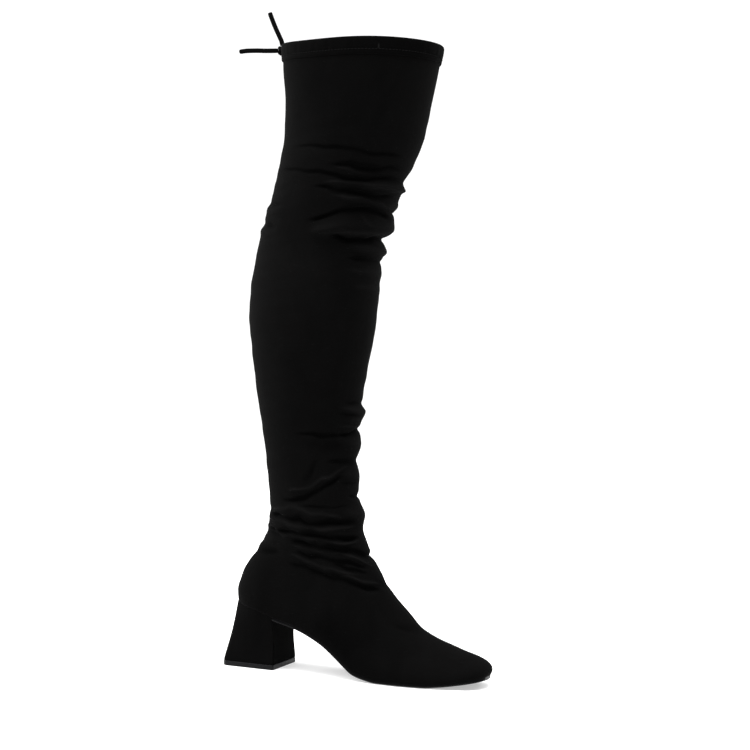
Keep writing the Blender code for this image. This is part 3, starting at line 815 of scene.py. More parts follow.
def add_node(tree: NodeTree, kind: str, inputs: dict[str | int, object], **settings: object) -> Node:
    """Shader node with its settings and inputs.

    Args:
        tree: the tree that it joins.
        kind: its type, without ShaderNode.
        inputs: for each socket its value, or the socket that feeds it.
        settings: the node's own properties.

    Returns:
        The node.
    """
    node = tree.nodes.new("ShaderNode" + kind)
    for name, value in settings.items():
        setattr(node, name, value)
    feed(node, inputs)
    return node


def object_place(tree: NodeTree) -> NodeSocket:
    """Place on the object, in its own coordinates."""
    return add_node(tree, "TexCoord", {}).outputs["Object"]


def noise(tree: NodeTree, place: NodeSocket, scale: float | NodeSocket, **more: float) -> NodeSocket:
    """Value of a noise texture at a place; more names its other inputs."""
    inputs = {name.capitalize(): value for name, value in more.items()}
    return add_node(tree, "TexNoise", {"Vector": place, "Scale": scale, **inputs}).outputs["Fac"]


def remap(tree: NodeTree, value: NodeSocket, *ends: float) -> NodeSocket:
    """Value carried from one span to another and held there: both ends of each, in order."""
    names = ("From Min", "From Max", "To Min", "To Max")
    return add_node(tree, "MapRange", {"Value": value, **dict(zip(names, ends))}).outputs["Result"]


def blend(tree: NodeTree, share: NodeSocket, dark: Sequence[float], light: Sequence[float]) -> NodeSocket:
    """Colour from dark at share 0 to light at share 1."""
    inputs = {"Factor": share, "A": (*dark, 1.0), "B": (*light, 1.0)}
    return add_node(tree, "Mix", inputs, data_type="RGBA").outputs["Result"]


def relief(tree: NodeTree, height: NodeSocket, strength: float, depth: float) -> NodeSocket:
    """Normal bent by a height field of that depth in metres."""
    inputs = {"Height": height, "Strength": strength, "Distance": depth}
    return add_node(tree, "Bump", inputs).outputs["Normal"]


@dataclass(frozen=True)
class Suede:
    """Black microfibre suede: a matt nap with brushed patches, painted shade in the creases and painted
    light from each point's tone.
    """

    name: str
    dark: Colour = (0.0006, 0.0006, 0.0006)
    light: Colour = (0.0037, 0.0036, 0.0036)
    roughness: float = 0.92
    specular: float = 0.011
    sheen: float = 0.0065
    sheen_roughness: float = 0.45
    nap_scale: float = 2600.0
    patch_scale: float = 26.0
    nap_bump: float = 0.35
    nap_depth: float = 0.0003
    nap_tone_and_painted_light_share: float = 0.5

    def material(self) -> Material:
        """Material whose nap is fine noise and whose patches are broad, stretched noise; the points' tone
        adds painted shade and painted highlight.
        """
        material, tree, shader = new_material(self.name)
        inputs = {"Place": object_place(tree), "Nap scale": self.nap_scale, "Patch scale": self.patch_scale}
        nap = add_node(tree, "Group", inputs, node_tree=nap_group()).outputs
        # The points' tone mixes painted shade and painted highlight into the colour, along with the brushed
        # patches.
        nap_tone_and_painted_light = add_node(tree, "Attribute", {}, attribute_name="nap_tone_and_painted_light").outputs["Fac"]
        inputs = {0: nap_tone_and_painted_light, 1: self.nap_tone_and_painted_light_share, 2: nap["Patch"]}
        tone = add_node(tree, "Math", inputs, operation="MULTIPLY_ADD", use_clamp=True).outputs[0]
        feed(shader, {
            "Base Color": blend(tree, tone, self.dark, self.light),
            "Normal": relief(tree, nap["Height"], self.nap_bump, self.nap_depth),
            "Roughness": self.roughness,
            "Specular IOR Level": self.specular,
            "Sheen Weight": self.sheen,
            "Sheen Roughness": self.sheen_roughness,
        })
        return material


@dataclass(frozen=True)
class Rubber:
    """Moulded rubber: an even dark colour with faint scuffing and a soft gloss."""

    name: str
    colour: Colour
    roughness: float
    specular: float
    grain_scale: float = 900.0
    grain_bump: float = 0.12
    grain_depth: float = 0.0002
    scuff_scale: float = 45.0
    gloss_spread: tuple[float, float] = (-0.10, 0.16)
    colour_spread: tuple[float, float] = (0.75, 1.25)

    def material(self) -> Material:
        """Material whose roughness and colour follow scuffs, and its relief a fine grain."""
        material, tree, shader = new_material(self.name)
        place = object_place(tree)
        grain = noise(tree, place, self.grain_scale, detail=4.0)
        scuff = noise(tree, place, self.scuff_scale, detail=8.0, roughness=0.7)
        worn = [self.roughness + change for change in self.gloss_spread]
        dark, light = ([c * share for c in self.colour] for share in self.colour_spread)
        feed(shader, {
            "Roughness": remap(tree, scuff, 0.0, 1.0, *worn),
            "Base Color": blend(tree, scuff, dark, light),
            "Normal": relief(tree, grain, self.grain_bump, self.grain_depth),
            "Specular IOR Level": self.specular,
        })
        return material


@dataclass(frozen=True)
class Knit:
    """Plain knitted lining: fine crossed ribs of thread."""

    name: str
    colour: Colour
    rib_scale: float = 0.05 / 0.0007
    unevenness: float = 0.6
    roughness: float = 0.9
    specular: float = 0.06
    rib_bump: float = 0.4
    rib_depth: float = 0.0003
    colour_spread: tuple[float, float] = (0.6, 1.3)

    def material(self) -> Material:
        """Material whose ribs are two sets of sine bands across the height and the width."""
        material, tree, shader = new_material(self.name)
        inputs = {"Vector": object_place(tree), "Scale": self.rib_scale, "Distortion": self.unevenness}
        ribs = [add_node(tree, "TexWave", inputs, bands_direction=way).outputs["Fac"] for way in ("X", "Z")]
        cross = add_node(tree, "Math", {0: ribs[0], 1: ribs[1]}, operation="ADD").outputs[0]
        dark, light = ([c * share for c in self.colour] for share in self.colour_spread)
        feed(shader, {
            "Base Color": blend(tree, remap(tree, cross, 0.0, 2.0, 0.0, 1.0), dark, light),
            "Normal": relief(tree, cross, self.rib_bump, self.rib_depth),
            "Roughness": self.roughness,
            "Specular IOR Level": self.specular,
        })
        return material


def nap_group() -> NodeTree:
    """Nap of suede, built once: fine pile, and patches brushed one way or the other.

    Returns:
        A group with a place and two scales in, and a height and a patch value out.
    """
    found = bpy.data.node_groups.get("suede_nap")
    if found:
        return found
    group = bpy.data.node_groups.new("suede_nap", "ShaderNodeTree")
    socket = group.interface.new_socket
    socket(name="Place", in_out="INPUT", socket_type="NodeSocketVector")
    for name in ("Nap scale", "Patch scale"):
        socket(name=name, in_out="INPUT", socket_type="NodeSocketFloat")
    for name in ("Height", "Patch"):
        socket(name=name, in_out="OUTPUT", socket_type="NodeSocketFloat")
    given = group.nodes.new("NodeGroupInput").outputs
    pile = noise(group, given["Place"], given["Nap scale"], detail=3.0, roughness=0.65)
    stretch = {"Vector": given["Place"], "Scale": (1.0, 1.0, 0.55)}
    lie = add_node(group, "Mapping", stretch).outputs["Vector"]
    brushed = noise(group, lie, given["Patch scale"], detail=7.0, roughness=0.62, distortion=0.8)
    patch = remap(group, brushed, 0.30, 0.72, 0.22, 0.42)
    feed(group.nodes.new("NodeGroupOutput"), {"Height": pile, "Patch": patch})
    return group


def share_out(piece: Object, slots: Array, *finishes: Material) -> None:
    """Gives a piece several finishes, and each face the number of its own."""
    for finish in finishes:
        piece.data.materials.append(finish)
    piece.data.polygons.foreach_set("material_index", slots.astype(np.int32))


def settle(piece: Object, finish: Material, slot: str, *nodes: str) -> None:
    """Gives a piece its finish, its body and the solids that it stands for.

    Args:
        piece: the finished object.
        finish: its material.
        slot: not used.
        nodes: the CAD nodes that it replaces.
    """
    if not piece.data.materials:
        piece.data.materials.append(finish)
    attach(piece, BODY)
    if nodes:
        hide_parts(*nodes)
    LOG.info("%s: %d faces", piece.name, len(piece.data.polygons))


@dataclass
class Upper:
    """Foot and shaft in one hollow wall, with the leg's creases.

    Each span is written as its start and the length over which it fades.
    """

    form: BootForm
    outside_rows: int = 580
    inside_rows: int = 104
    half_around: int = 72
    casing_layer: float = 0.0010
    fade: float = 0.08
    busy: tuple[tuple[float, float], ...] = ((0.070, 0.245), (0.365, 0.470))
    broad: float = 0.0030
    slack: float = 0.00022
    wander: float = 0.00045
    uneven: float = 0.28
    end_width: float = 0.65
    middle_width: float = 0.5
    trough_drop: float = 0.25
    # Crease depth at which the creases' painted shade and painted highlight are full.
    full_painted_light_depth: float = 0.0011
    # Painted highlight over the top of the toe and painted shade low on the waist.
    toe_painted_highlight: float = 0.25
    waist_painted_shade: float = -0.55
    wander_from: tuple[float, float] = (0.08, 0.10)
    wander_to: tuple[float, float] = (0.82, 0.06)
    slack_from: tuple[float, float] = (0.09, 0.05)
    slack_to: tuple[float, float] = (0.47, 0.05)
    toe_from: tuple[float, float] = (0.125, 0.07)
    toe_top: tuple[float, float] = (0.05, 0.03)
    waist_middle: float = 0.085
    waist_reach: float = 0.038
    waist_top: tuple[float, float] = (0.035, 0.04)
    brushed: tuple[Patch, ...] = (
        Patch(-0.72, 0.515, 0.30, 0.055, -0.20),
        Patch(-0.86, 0.430, 0.10, 0.060, -0.14),
        Patch(-0.02, 0.515, 0.16, 0.045, 0.16),
        Patch(-0.42, 0.358, 0.22, 0.030, 0.30),
        Patch(-0.55, 0.300, 0.26, 0.060, 0.15),
        Patch(-0.10, 0.330, 0.16, 0.060, -0.06),
        Patch(-0.48, 0.200, 0.20, 0.026, 0.10),
        Patch(-0.76, 0.090, 0.10, 0.016, 0.20),
    )
    seam_depth: float = 0.00035
    seam_width: float = 0.0012
    # Painted shade in the back seam's groove.
    seam_shade: float = 0.4
    seam_from: tuple[float, float] = (0.07, 0.01)
    calf_arc: float = 0.18

    def creased(self, grid: Array) -> tuple[Array, Array]:
        """How far each point of a grid of girths is moved out for the creases, and its tone.

        The creases add up, free to wander away from the shin and the calf. Slight waves are
        added where the suede hangs slack, and the back seam is drawn in. Painted highlight lies
        over the top of the toe, and painted shade low on the waist and in the seam's groove;
        each brushed patch adds a bell curve of the turn and the height.

        Args:
            grid: girths shaped (rings, points, 3).

        Returns:
            The shift in metres and the tone, for each point.
        """
        shin = np.broadcast_to(ring_turns(self.half_around), grid.shape[:2])
        calf = np.where(shin < 0, -1 - shin, 1 - shin)
        x, z = grid[:, :, 0], grid[:, :, 2]
        shift, tone = np.zeros(grid.shape[:2]), np.zeros(grid.shape[:2])
        last_turn, last_fade = self.wander_to
        free = fade_in(abs(shin), *self.wander_from) * smoothstep((last_turn - abs(shin)) / last_fade)
        for number, line in enumerate((*KNEE_CREASES, *SHIN_CREASES, *ANKLE_CREASES, *INNER_CREASES)):
            where = shin if line.anchor is Anchor.SHIN else calf
            part = self.one_crease(line, number, where, z, free)
            shift, tone = shift + part[0], tone + part[1]
        shift += self.slack * self.slack_waves(shin, z)
        seam = bell(calf * self.calf_arc / self.seam_width) * fade_in(z, *self.seam_from)
        shift -= self.seam_depth * seam
        # Painted highlight over the toe's top, lit from above; painted shade low on the waist near the
        # floor and in the seam's groove.
        toe = fade_in(x, *self.toe_from) * (1 - fade_in(z, *self.toe_top))
        waist = bell((x - self.waist_middle) / self.waist_reach) * (1 - fade_in(z, *self.waist_top))
        tone += self.toe_painted_highlight * toe + self.waist_painted_shade * waist - self.seam_shade * seam
        for patch in self.brushed:
            aside = (shin - patch.turn) / patch.half_turn
            above = (z - patch.height) / patch.half_height
            tone += patch.tone * np.exp(-(aside**2 + above**2))
        return shift, np.clip(tone, -1, 1)

    def one_crease(
        self, line: Crease, number: int, where: Array, z: Array, free: Array
    ) -> tuple[Array, Array]:
        """Shift and tone that one crease gives each point.

        The shift is its depth times a bell curve of the height over its line, narrower above
        and wider below by its skew. Both ends fade, and the half height is least there and
        greatest halfway. A trough is deepest a quarter of its half height under its line.
        The line wanders and the depth varies by a few sines.

        The tone is painted shade below zero in a trough's upper flank, which faces down, and
        painted highlight above it on a ridge's upper flank, which faces up; broad ridges count for less.

        Args:
            line: the crease.
            number: its number, from which its wandering and its unevenness are worked out.
            where: each point's turn from the crease's anchor.
            z: each point's height.
            free: share by which the crease may wander at each point.

        Returns:
            The shift in metres and the tone, for each point.
        """
        places = np.array(line.places)
        ends = smoothstep((where - places[0, 0]) / self.fade + 0.5)
        ends = ends * smoothstep((places[-1, 0] - where) / self.fade + 0.5)
        along = np.clip((where - places[0, 0]) / (places[-1, 0] - places[0, 0]), 0, 1)
        half_height = line.half_height * (self.end_width + self.middle_width * np.sin(np.pi * along))
        wander = np.sin(29 * where + 5.1 * number) + 0.6 * np.sin(53 * where + 2.3 * number)
        middle = monotone(places[:, 0], places[:, 1], where)
        away = (z - middle - self.wander * free * wander) / half_height
        trough = line.depth < 0
        deep = away + self.trough_drop * trough
        deep = deep / np.where(deep > 0, 1 - line.skew, 1 + line.skew)
        ends = ends * (1 + self.uneven * free * np.sin(23 * where + 1.7 * number))
        # Painted shade on a trough's upper flank, which faces down; painted highlight on a ridge's upper
        # flank, lit from above.
        core = away / 0.85 if trough else (away - 0.35) / 0.75
        weight = np.clip(line.depth / self.full_painted_light_depth, -1.0, 0.8)
        weight *= min(1.0, self.broad / line.half_height)
        return line.depth * ends * bell(deep), weight * ends * bell(core)

    def slack_waves(self, shin: Array, z: Array) -> Array:
        """Broad waves of crossed sines, from over the ankle up to under the collar."""
        waves = np.sin(z * 230 + 3.0 * shin) * np.sin(shin * 7.0 + z * 40)
        waves += 0.6 * np.sin(z * 410 - 5.0 * shin + 1.0) * np.sin(shin * 11.0 - z * 25)
        return waves * fade_in(z, *self.slack_from) * (1 - fade_in(z, *self.slack_to))

    def wall_rows(self, smooth: Array, shift: Array) -> tuple[Array, Array]:
        """Rows of the wall's outside and inside.

        The inside follows the deepest of the shifts within its own coarser row spacing, so
        that no crease reaches through it.

        Args:
            smooth: girths before creasing, shaped (rings, points, 3).
            shift: the creases' shift of each point.

        Returns:
            Rings of the outside, upwards, and of the inside, downwards.
        """
        normals = grid_normals(smooth)
        outside = smooth + normals * shift[:, :, None]
        reach = math.ceil(self.outside_rows / self.inside_rows) + 1
        rows = np.arange(self.outside_rows)
        nearby = [shift[np.clip(rows + k, 0, rows[-1])] for k in range(-reach, reach + 1)]
        deepest = np.min(nearby, axis=0)
        deepest = np.min([np.roll(deepest, k, axis=1) for k in (-1, 0, 1)], axis=0)
        pick = np.round(np.linspace(self.outside_rows - 1, 0, self.inside_rows)).astype(int)
        return outside, smooth[pick] + normals[pick] * (deepest[pick] - self.form.wall)[:, :, None]

    def build(self) -> Object:
        """The wall: creased outside, inside a wall's thickness behind it, rims between."""
        top = self.form.boot_height - self.casing_layer - 2 * self.form.gap
        last = float(self.form.number_at(top))
        numbers = self.form.spaced_numbers(last, self.outside_rows, self.busy)
        smooth = self.form.collar_wave(self.form.girth_rings(numbers, self.half_around))
        shift, tone = self.creased(smooth)
        outside, inside = self.wall_rows(smooth, shift)
        inside[0, :, 2] = np.minimum(inside[0, :, 2], outside[-1, :, 2])
        rings = np.concatenate([outside, inside])
        piece = ring_piece("boot_upper", rings, close_rows=True)
        set_tone(piece, np.concatenate([tone, np.zeros(inside.shape[:2])]))
        return piece

    def dress(self, piece: Object, suede: Material, lining: Material) -> None:
        """Suede outside and knitted lining inside, by the row that a face lies in."""
        rows = np.arange(self.outside_rows + self.inside_rows)
        hidden = (rows >= self.outside_rows) & (rows < len(rows) - 1)
        share_out(piece, np.repeat(hidden, 2 * self.half_around), suede, lining)
        settle(piece, suede, "suede", "upper")


@dataclass
class CollarCasing:
    """Drawstring casing: a band folded over the collar's edge, stitched near its lower edge."""

    form: BootForm
    height: float = 0.0150
    inside_height: float = 0.0120
    layer: float = 0.0010
    fullness: float = 0.0003
    stitch_drop: float = 0.0108
    groove: float = 0.00045
    groove_width: float = 0.0006
    pucker: float = 0.00012
    tone: float = -0.30
    half_around: int = 150
    stitch_pitch: float = 0.0029
    stitch_length: float = 0.0021
    stitch_radius: float = 0.00028
    stitch_sunk: float = 0.00028
    stitch_arch: float = 0.00030
    stitch_rings: int = 7
    stitch_corners: int = 6
    tack_turn: float = -0.31
    tack_from: float = 0.0012
    tack_to: float = 0.0098
    tack_rows: int = 16
    tack_length: float = 0.0017
    tack_lean: float = 0.0003
    tack_sunk: float = 0.0001
    tack_arch: float = 0.00022

    def offsets(self) -> Array:
        """Closed section of the band: distance out from the leg, and height.

        Returns:
            Points shaped (corners, 2), down the outside from the top and up the inside.
        """
        top, gap, wall = self.form.boot_height, self.form.gap, self.form.wall
        low, low_inside = top - self.height, top - self.inside_height
        drop = np.array([0, 0.4, 1.2, 2.8, 4.8, 6.8, 8.6, 10, 10.8, 11.6, 13, 14.6, 15]) / 1000
        full = np.sin(np.pi * np.clip(drop / self.stitch_drop, 0, 1)) ** 0.7 * self.fullness
        groove = self.groove * bell((drop - self.stitch_drop) / self.groove_width)
        rounded = self.layer * np.array([0.25, 0.62, 0.92, 1, 1, 1, 1, 1, 1, 1, 1, 0.85, 0.5])
        outside = np.stack([gap + rounded + full - groove, top - drop], axis=1)
        under = np.array([[gap, low], [gap, top - self.layer], [-(wall + gap), top - self.layer]])
        lining = np.array([[-(wall + gap), low_inside], [-(wall + gap + self.layer), low_inside]])
        rise = np.linspace(low_inside, top - self.layer, 5)[1:]
        back = np.stack([np.full(4, -(wall + gap + self.layer)), rise], axis=1)
        crown = np.array([[-(wall + gap + 0.8 * self.layer), top - 0.4 * self.layer], [-(wall + gap), top]])
        return np.concatenate([outside, under, lining, back, crown])

    def leg_rings(self, heights: Array) -> tuple[Array, Array]:
        """Level rings of the leg and their level outward directions at several heights."""
        rings = self.form.girth_rings(self.form.number_at(heights), self.half_around)
        rings[:, :, 2] = heights[:, None]
        run = np.roll(rings, -1, axis=1) - np.roll(rings, 1, axis=1)
        out = unit(np.stack([run[:, :, 1], -run[:, :, 0], np.zeros(run.shape[:2])], axis=2))
        inward = ((rings - rings.mean(axis=1, keepdims=True)) * out).sum() < 0
        return rings, -out if inward else out

    def build(self) -> Object:
        """The band: its section carried round the collar, slightly gathered by the cord.

        The gathers are a few sines of the way round, strongest halfway down the casing.
        """
        section = self.offsets()
        rings, out = self.leg_rings(section[:, 1])
        around = full_turn(2 * self.half_around)
        gather = np.sin(37 * around) + 0.7 * np.sin(61 * around + 1.3) + 0.5 * np.sin(23 * around + 0.4)
        drop = self.form.boot_height - section[:, 1]
        outer = section[:, 0] > self.form.gap + 0.3 * self.layer
        strength = np.where(outer, np.sin(np.pi * np.clip(drop / self.height, 0, 1)), 0.0)
        shift = section[:, :1] + self.pucker * strength[:, None] * gather[None, :]
        rings = self.form.collar_wave(rings + out * shift[:, :, None])
        piece = ring_piece("collar_band", rings, close_rows=True)
        set_tone(piece, np.broadcast_to(np.where(outer, self.tone, 0.0)[:, None], rings.shape[:2]))
        return piece

    def build_stitches(self) -> Object:
        """Run of stitches along the casing's seam, and the bar tack that closes it.

        Each stitch is a short capsule: rings along a shallow arch that dips into the suede at
        both ends.
        """
        height = self.form.boot_height - self.stitch_drop
        rings, out = self.leg_rings(np.array([height]))
        ring, way = self.form.collar_wave(rings)[0], out[0]
        closed = np.concatenate([ring, ring[:1]])
        reach = np.concatenate([[0.0], np.cumsum(np.linalg.norm(np.diff(closed, axis=0), axis=1))])
        count = int(reach[-1] / self.stitch_pitch)
        middles = (np.arange(count) + 0.5) * reach[-1] / count
        arch = np.linspace(-0.5, 0.5, self.stitch_rings)
        along = middles[:, None] + arch[None, :] * self.stitch_length
        lift = self.form.gap + self.layer - self.stitch_sunk + self.stitch_arch * np.cos(np.pi * arch)
        index = np.arange(len(closed), dtype=float)
        at = np.interp(along, reach, index)
        full_way = np.concatenate([way, way[:1]])
        side = along_line(at, index, full_way)
        centre = along_line(at, index, closed) + side * lift[None, :, None]
        tack = self.bar_tack(ring, way, arch)
        centre, side = np.concatenate([centre, tack[0]]), np.concatenate([side, tack[1]])
        return self.capsules("collar_stitches", centre, side)

    def bar_tack(self, ring: Array, way: Array, arch: Array) -> tuple[Array, Array]:
        """Bar tack: level stitches one above another across the casing.

        Args:
            ring: the leg's ring at the seam.
            way: its outward directions.
            arch: places along one stitch, from minus to plus a half.

        Returns:
            Centre points and outward directions, shaped (stitches, places, 3).
        """
        index = int(round((1 + self.tack_turn) * self.half_around))
        step = ring[index + 1] - ring[index - 1]
        step /= np.linalg.norm(step)
        drops = np.linspace(self.tack_from, self.tack_to, self.tack_rows)
        bulge = self.form.gap + self.layer + self.fullness * np.sin(np.pi * drops / self.stitch_drop) ** 0.7
        up = np.array([0.0, 0.0, 1.0])
        rise = (self.stitch_drop - drops)[:, None, None] * up
        lean = np.where(np.arange(self.tack_rows) % 2, self.tack_lean, -self.tack_lean)
        places = arch[None, :, None]
        line = places * step * self.tack_length + lean[:, None, None] * places * up
        lift = (bulge - self.tack_sunk)[:, None] + self.tack_arch * np.cos(np.pi * arch)[None, :]
        centre = ring[index] + rise + line + way[index] * lift[:, :, None]
        return centre, np.broadcast_to(way[index], centre.shape)

    def capsules(self, name: str, centre: Array, side: Array) -> Object:
        """Joined capsules along short centre lines.

        Args:
            name: the object's name.
            centre: centre lines, shaped (capsules, places, 3).
            side: a direction square to each line, of the same shape.

        Returns:
            One object of closed tubes.
        """
        count, places = centre.shape[:2]
        third = np.cross(unit(np.gradient(centre, axis=1)), side)
        corners = self.stitch_corners
        turn = full_turn(corners)
        taper = np.sqrt(np.clip(1 - np.linspace(-0.97, 0.97, places) ** 4, 0, 1))
        ring = side[:, :, None] * np.cos(turn)[:, None] + third[:, :, None] * np.sin(turn)[:, None]
        points = centre[:, :, None] + ring * (self.stitch_radius * taper)[None, :, None, None]
        quads = grid_quads(places, corners, False, True)
        cap = np.arange(corners)
        caps = np.stack([cap[::-1], (places - 1) * corners + cap])
        start = (np.arange(count) * places * corners)[:, None, None]
        faces = [(quads[None] + start).reshape(-1, 4), (caps[None] + start).reshape(-1, corners)]
        return add_object(name, fill_mesh(name, points.reshape(-1, 3), faces))


@dataclass
class Drawstring:
    """Tie at the back of the collar: a pulled knot and two short suede ends."""

    form: BootForm
    diameter: float = 0.0042
    knot_radius: float = 0.0042
    knot_drop: float = 0.0010
    knot_form: tuple[float, float, float] = (1.0, 1.25, 1.05)
    knot_tube: float = 0.0017
    knot_loops: tuple[float, float, float] = (0.85, 1.25, 1.15)
    knot_rings: int = 180
    knot_corners: int = 16
    end_rings: int = 60
    end_corners: int = 24
    route_points: int = 16
    cut_edge: float = 0.10
    cut_reach: float = 0.02
    casing_height: float = 0.0150
    casing_layer: float = 0.0010
    casing_fullness: float = 0.0003
    back_length: float = 0.0370
    back_end: Route = (
        (0.00, 0.00, 0.000),
        (0.28, -0.02, 0.002),
        (0.56, -0.04, 0.012),
        (0.80, -0.05, 0.013),
        (1.00, -0.05, -0.004),
    )
    upper_length: float = 0.0330
    upper_end: Route = (
        (0.000, 0.00, 0.00),
        (0.010, 0.00, 0.08),
        (0.090, 0.01, 0.24),
        (0.205, 0.02, 0.45),
        (0.315, 0.03, 0.67),
        (0.410, 0.02, 0.90),
    )

    def centre(self) -> Array:
        """Middle of the knot, against the casing's face at the back."""
        z = self.form.boot_height - self.knot_drop
        back = self.form.girth_rings(self.form.number_at(np.array([z])), 22)[0, 0]
        fullness = self.casing_fullness * self.knot_drop / (self.casing_height / 2)
        face = self.form.gap + self.casing_layer + fullness
        reach = face + self.form.gap + self.knot_radius * self.knot_form[0]
        return np.array([back[0] - reach, back[1], z])

    def route(self, points: Route, length: float) -> Array:
        """Centre line of an end: a smooth curve through its points, from the knot's face."""
        steps = np.array([(-back, inward, up) for back, inward, up in points])
        way = steps[1] / np.linalg.norm(steps[1])
        start = way * (self.knot_radius / np.linalg.norm(way / np.array(self.knot_form)) + self.form.gap)
        known, fine = np.linspace(0, 1, len(points)), np.linspace(0, 1, self.route_points)
        line = np.stack([monotone(known, steps[:, k], fine) for k in range(3)], axis=1)
        return self.centre() + start + line * length

    def end(self, name: str, points: Route, length: float) -> Object:
        """One end: a round tube with a plainly cut tip.

        Args:
            name: the piece's name.
            points: its route, as shares of its length.
            length: its visible length in metres.

        Returns:
            The piece.
        """
        path = self.route(points, length)
        along = np.linspace(0, 1, self.end_rings)
        fine = resample(path[None], along)[0]
        turn = full_turn(self.end_corners)
        circle = np.stack([np.cos(turn), np.sin(turn)], axis=1) * self.diameter / 2
        edge = 1 - self.cut_edge * bell((1 - along) / self.cut_reach)
        edge -= self.cut_edge * bell(along / self.cut_reach)
        piece = ring_piece(name, sweep(fine, circle[None] * edge[:, None, None]))
        return piece

    def knot(self) -> Object:
        """Pulled knot: a tube along a three-lobed closed knot, squeezed together.

        Across, its line is the sine of t plus twice the sine of 2t; up, the cosine of t less
        twice the cosine of 2t; and back, minus the sine of 3t.
        """
        t = full_turn(self.knot_rings)
        reach = self.knot_radius - self.knot_tube
        across = (np.sin(t) + 2 * np.sin(2 * t)) / 3 * reach * self.knot_form[1] * self.knot_loops[1]
        up = (np.cos(t) - 2 * np.cos(2 * t)) / 3 * reach * self.knot_form[2] * self.knot_loops[2]
        back = -np.sin(3 * t) * reach * self.knot_loops[0]
        path = np.stack([back, across, up], axis=1) + self.centre()
        way = unit(np.roll(path, -1, axis=0) - np.roll(path, 1, axis=0))
        side = path - self.centre()
        side = unit(side - way * (side * way).sum(axis=1, keepdims=True))
        third = np.cross(way, side)
        turn = full_turn(self.knot_corners)[None, :, None]
        ring = side[:, None] * np.cos(turn) + third[:, None] * np.sin(turn)
        rings = path[:, None] + self.knot_tube * ring
        return ring_piece("tie_knot", rings, close_rows=True)


@dataclass
class Outsole:
    """Thin sole: a dyed edge over a glossier tread sheet, and a low crown under it."""

    form: BootForm
    breast: float = 0.179
    end: float = 0.9985
    lip: float = 0.0026
    crown: float = 0.0100
    edge_round: float = 0.0005
    sheet: float = 0.0009
    closeness: float = 0.00004
    sharp_angle: float = 0.7
    dyed_first: int = 4
    dyed_last: int = 5
    stations: int = 220
    toe_closeness: float = 1.6

    def sections(self, first: float, last: float, inset: float, rise: float, outline: Array) -> Array:
        """Closed sections across the sole between two stations.

        Args:
            first: first station.
            last: last station.
            inset: how far the edge lies in from the last's.
            rise: height of the top over the last's bottom.
            outline: for each corner its side, 0 outer to 1 inner, distance in and drop.

        Returns:
            Sections shaped (stations, corners, 3).
        """
        outer, inner = self.form.sole_edges(inset)
        s = np.linspace(0, 1, self.stations)
        x = self.form.place(first + (last - first) * (1 - (1 - s) ** self.toe_closeness))
        y0, z0 = (np.interp(x, outer[:, 0], outer[:, k])[:, None] for k in (1, 2))
        y1, z1 = (np.interp(x, inner[:, 0], inner[:, k])[:, None] for k in (1, 2))
        side, inwards, drop = outline[:, 0], outline[:, 1], outline[:, 2]
        reach = np.minimum(inwards[None, :], (y1 - y0) / 3)
        y = y0 + (y1 - y0) * side + reach * (1 - 2 * side)
        z = z0 + (z1 - z0) * side + rise - drop
        return np.stack([np.broadcast_to(x[:, None], y.shape), y, z], axis=2)

    def outline(self, thickness: float, lip: float, crown: float) -> Array:
        """Half outline of an edge, outer side then inner: top, rounded lip, crown, tread."""
        r = self.edge_round
        half = np.array([
            (0.0, 0.0040, 0.0),
            (0.0, r, 0.0),
            (0.0, 0.3 * r, 0.25 * r),
            (0.0, 0.0, r),
            (0.0, 0.0001, lip - self.sheet - 0.0001),
            (0.0, 0.0, lip - self.sheet),
            (0.0, 0.0, lip - r),
            (0.0, 0.3 * r, lip - 0.25 * r),
            (0.0, r, lip),
            (0.0, 0.5 * crown, lip + 0.75 * (thickness - lip)),
            (0.0, crown, thickness),
        ])
        other = half[::-1] * (0, 1, 1) + (1, 0, 0)
        return np.concatenate([half, other])

    def build(self) -> Object:
        """The sole from the heel's breast to the toe."""
        first = self.breast + self.form.gap / self.form.foot_length
        outline = self.outline(self.form.sole_thickness, self.lip, self.crown)
        rings = self.sections(first, self.end, 0.0, -self.closeness, outline)
        piece = ring_piece("sole", rings)
        piece.data.set_sharp_from_angle(angle=self.sharp_angle)
        return piece

    def dress(self, piece: Object, dyed: Material, rubber: Material) -> None:
        """Dyed finish down to the tread sheet on both sides, rubber on the rest."""
        slot = np.ones(len(self.outline(self.form.sole_thickness, self.lip, self.crown)))
        slot[:self.dyed_first], slot[-self.dyed_last:] = 0, 0
        slots = np.concatenate([np.tile(slot, self.stations - 1), np.ones(2 * len(slot))])
        share_out(piece, slots, dyed, rubber)
        settle(piece, dyed, "sole_rubber", "outsole")


@dataclass
class Insole(Outsole):
    """Sock covered board inside the foot."""

    thickness: float = 0.0025
    sheet: float = 0.0006

    def build(self) -> Object:
        """The board from the seat to the toe, inside the upper's wall."""
        inset = self.form.wall + 2 * self.form.gap
        ends = (inset + self.form.gap) / self.form.foot_length
        outline = self.outline(self.thickness, self.thickness / 2, self.thickness / 2)
        return ring_piece("sock_board", self.sections(ends, 1 - ends, inset, self.thickness, outline))


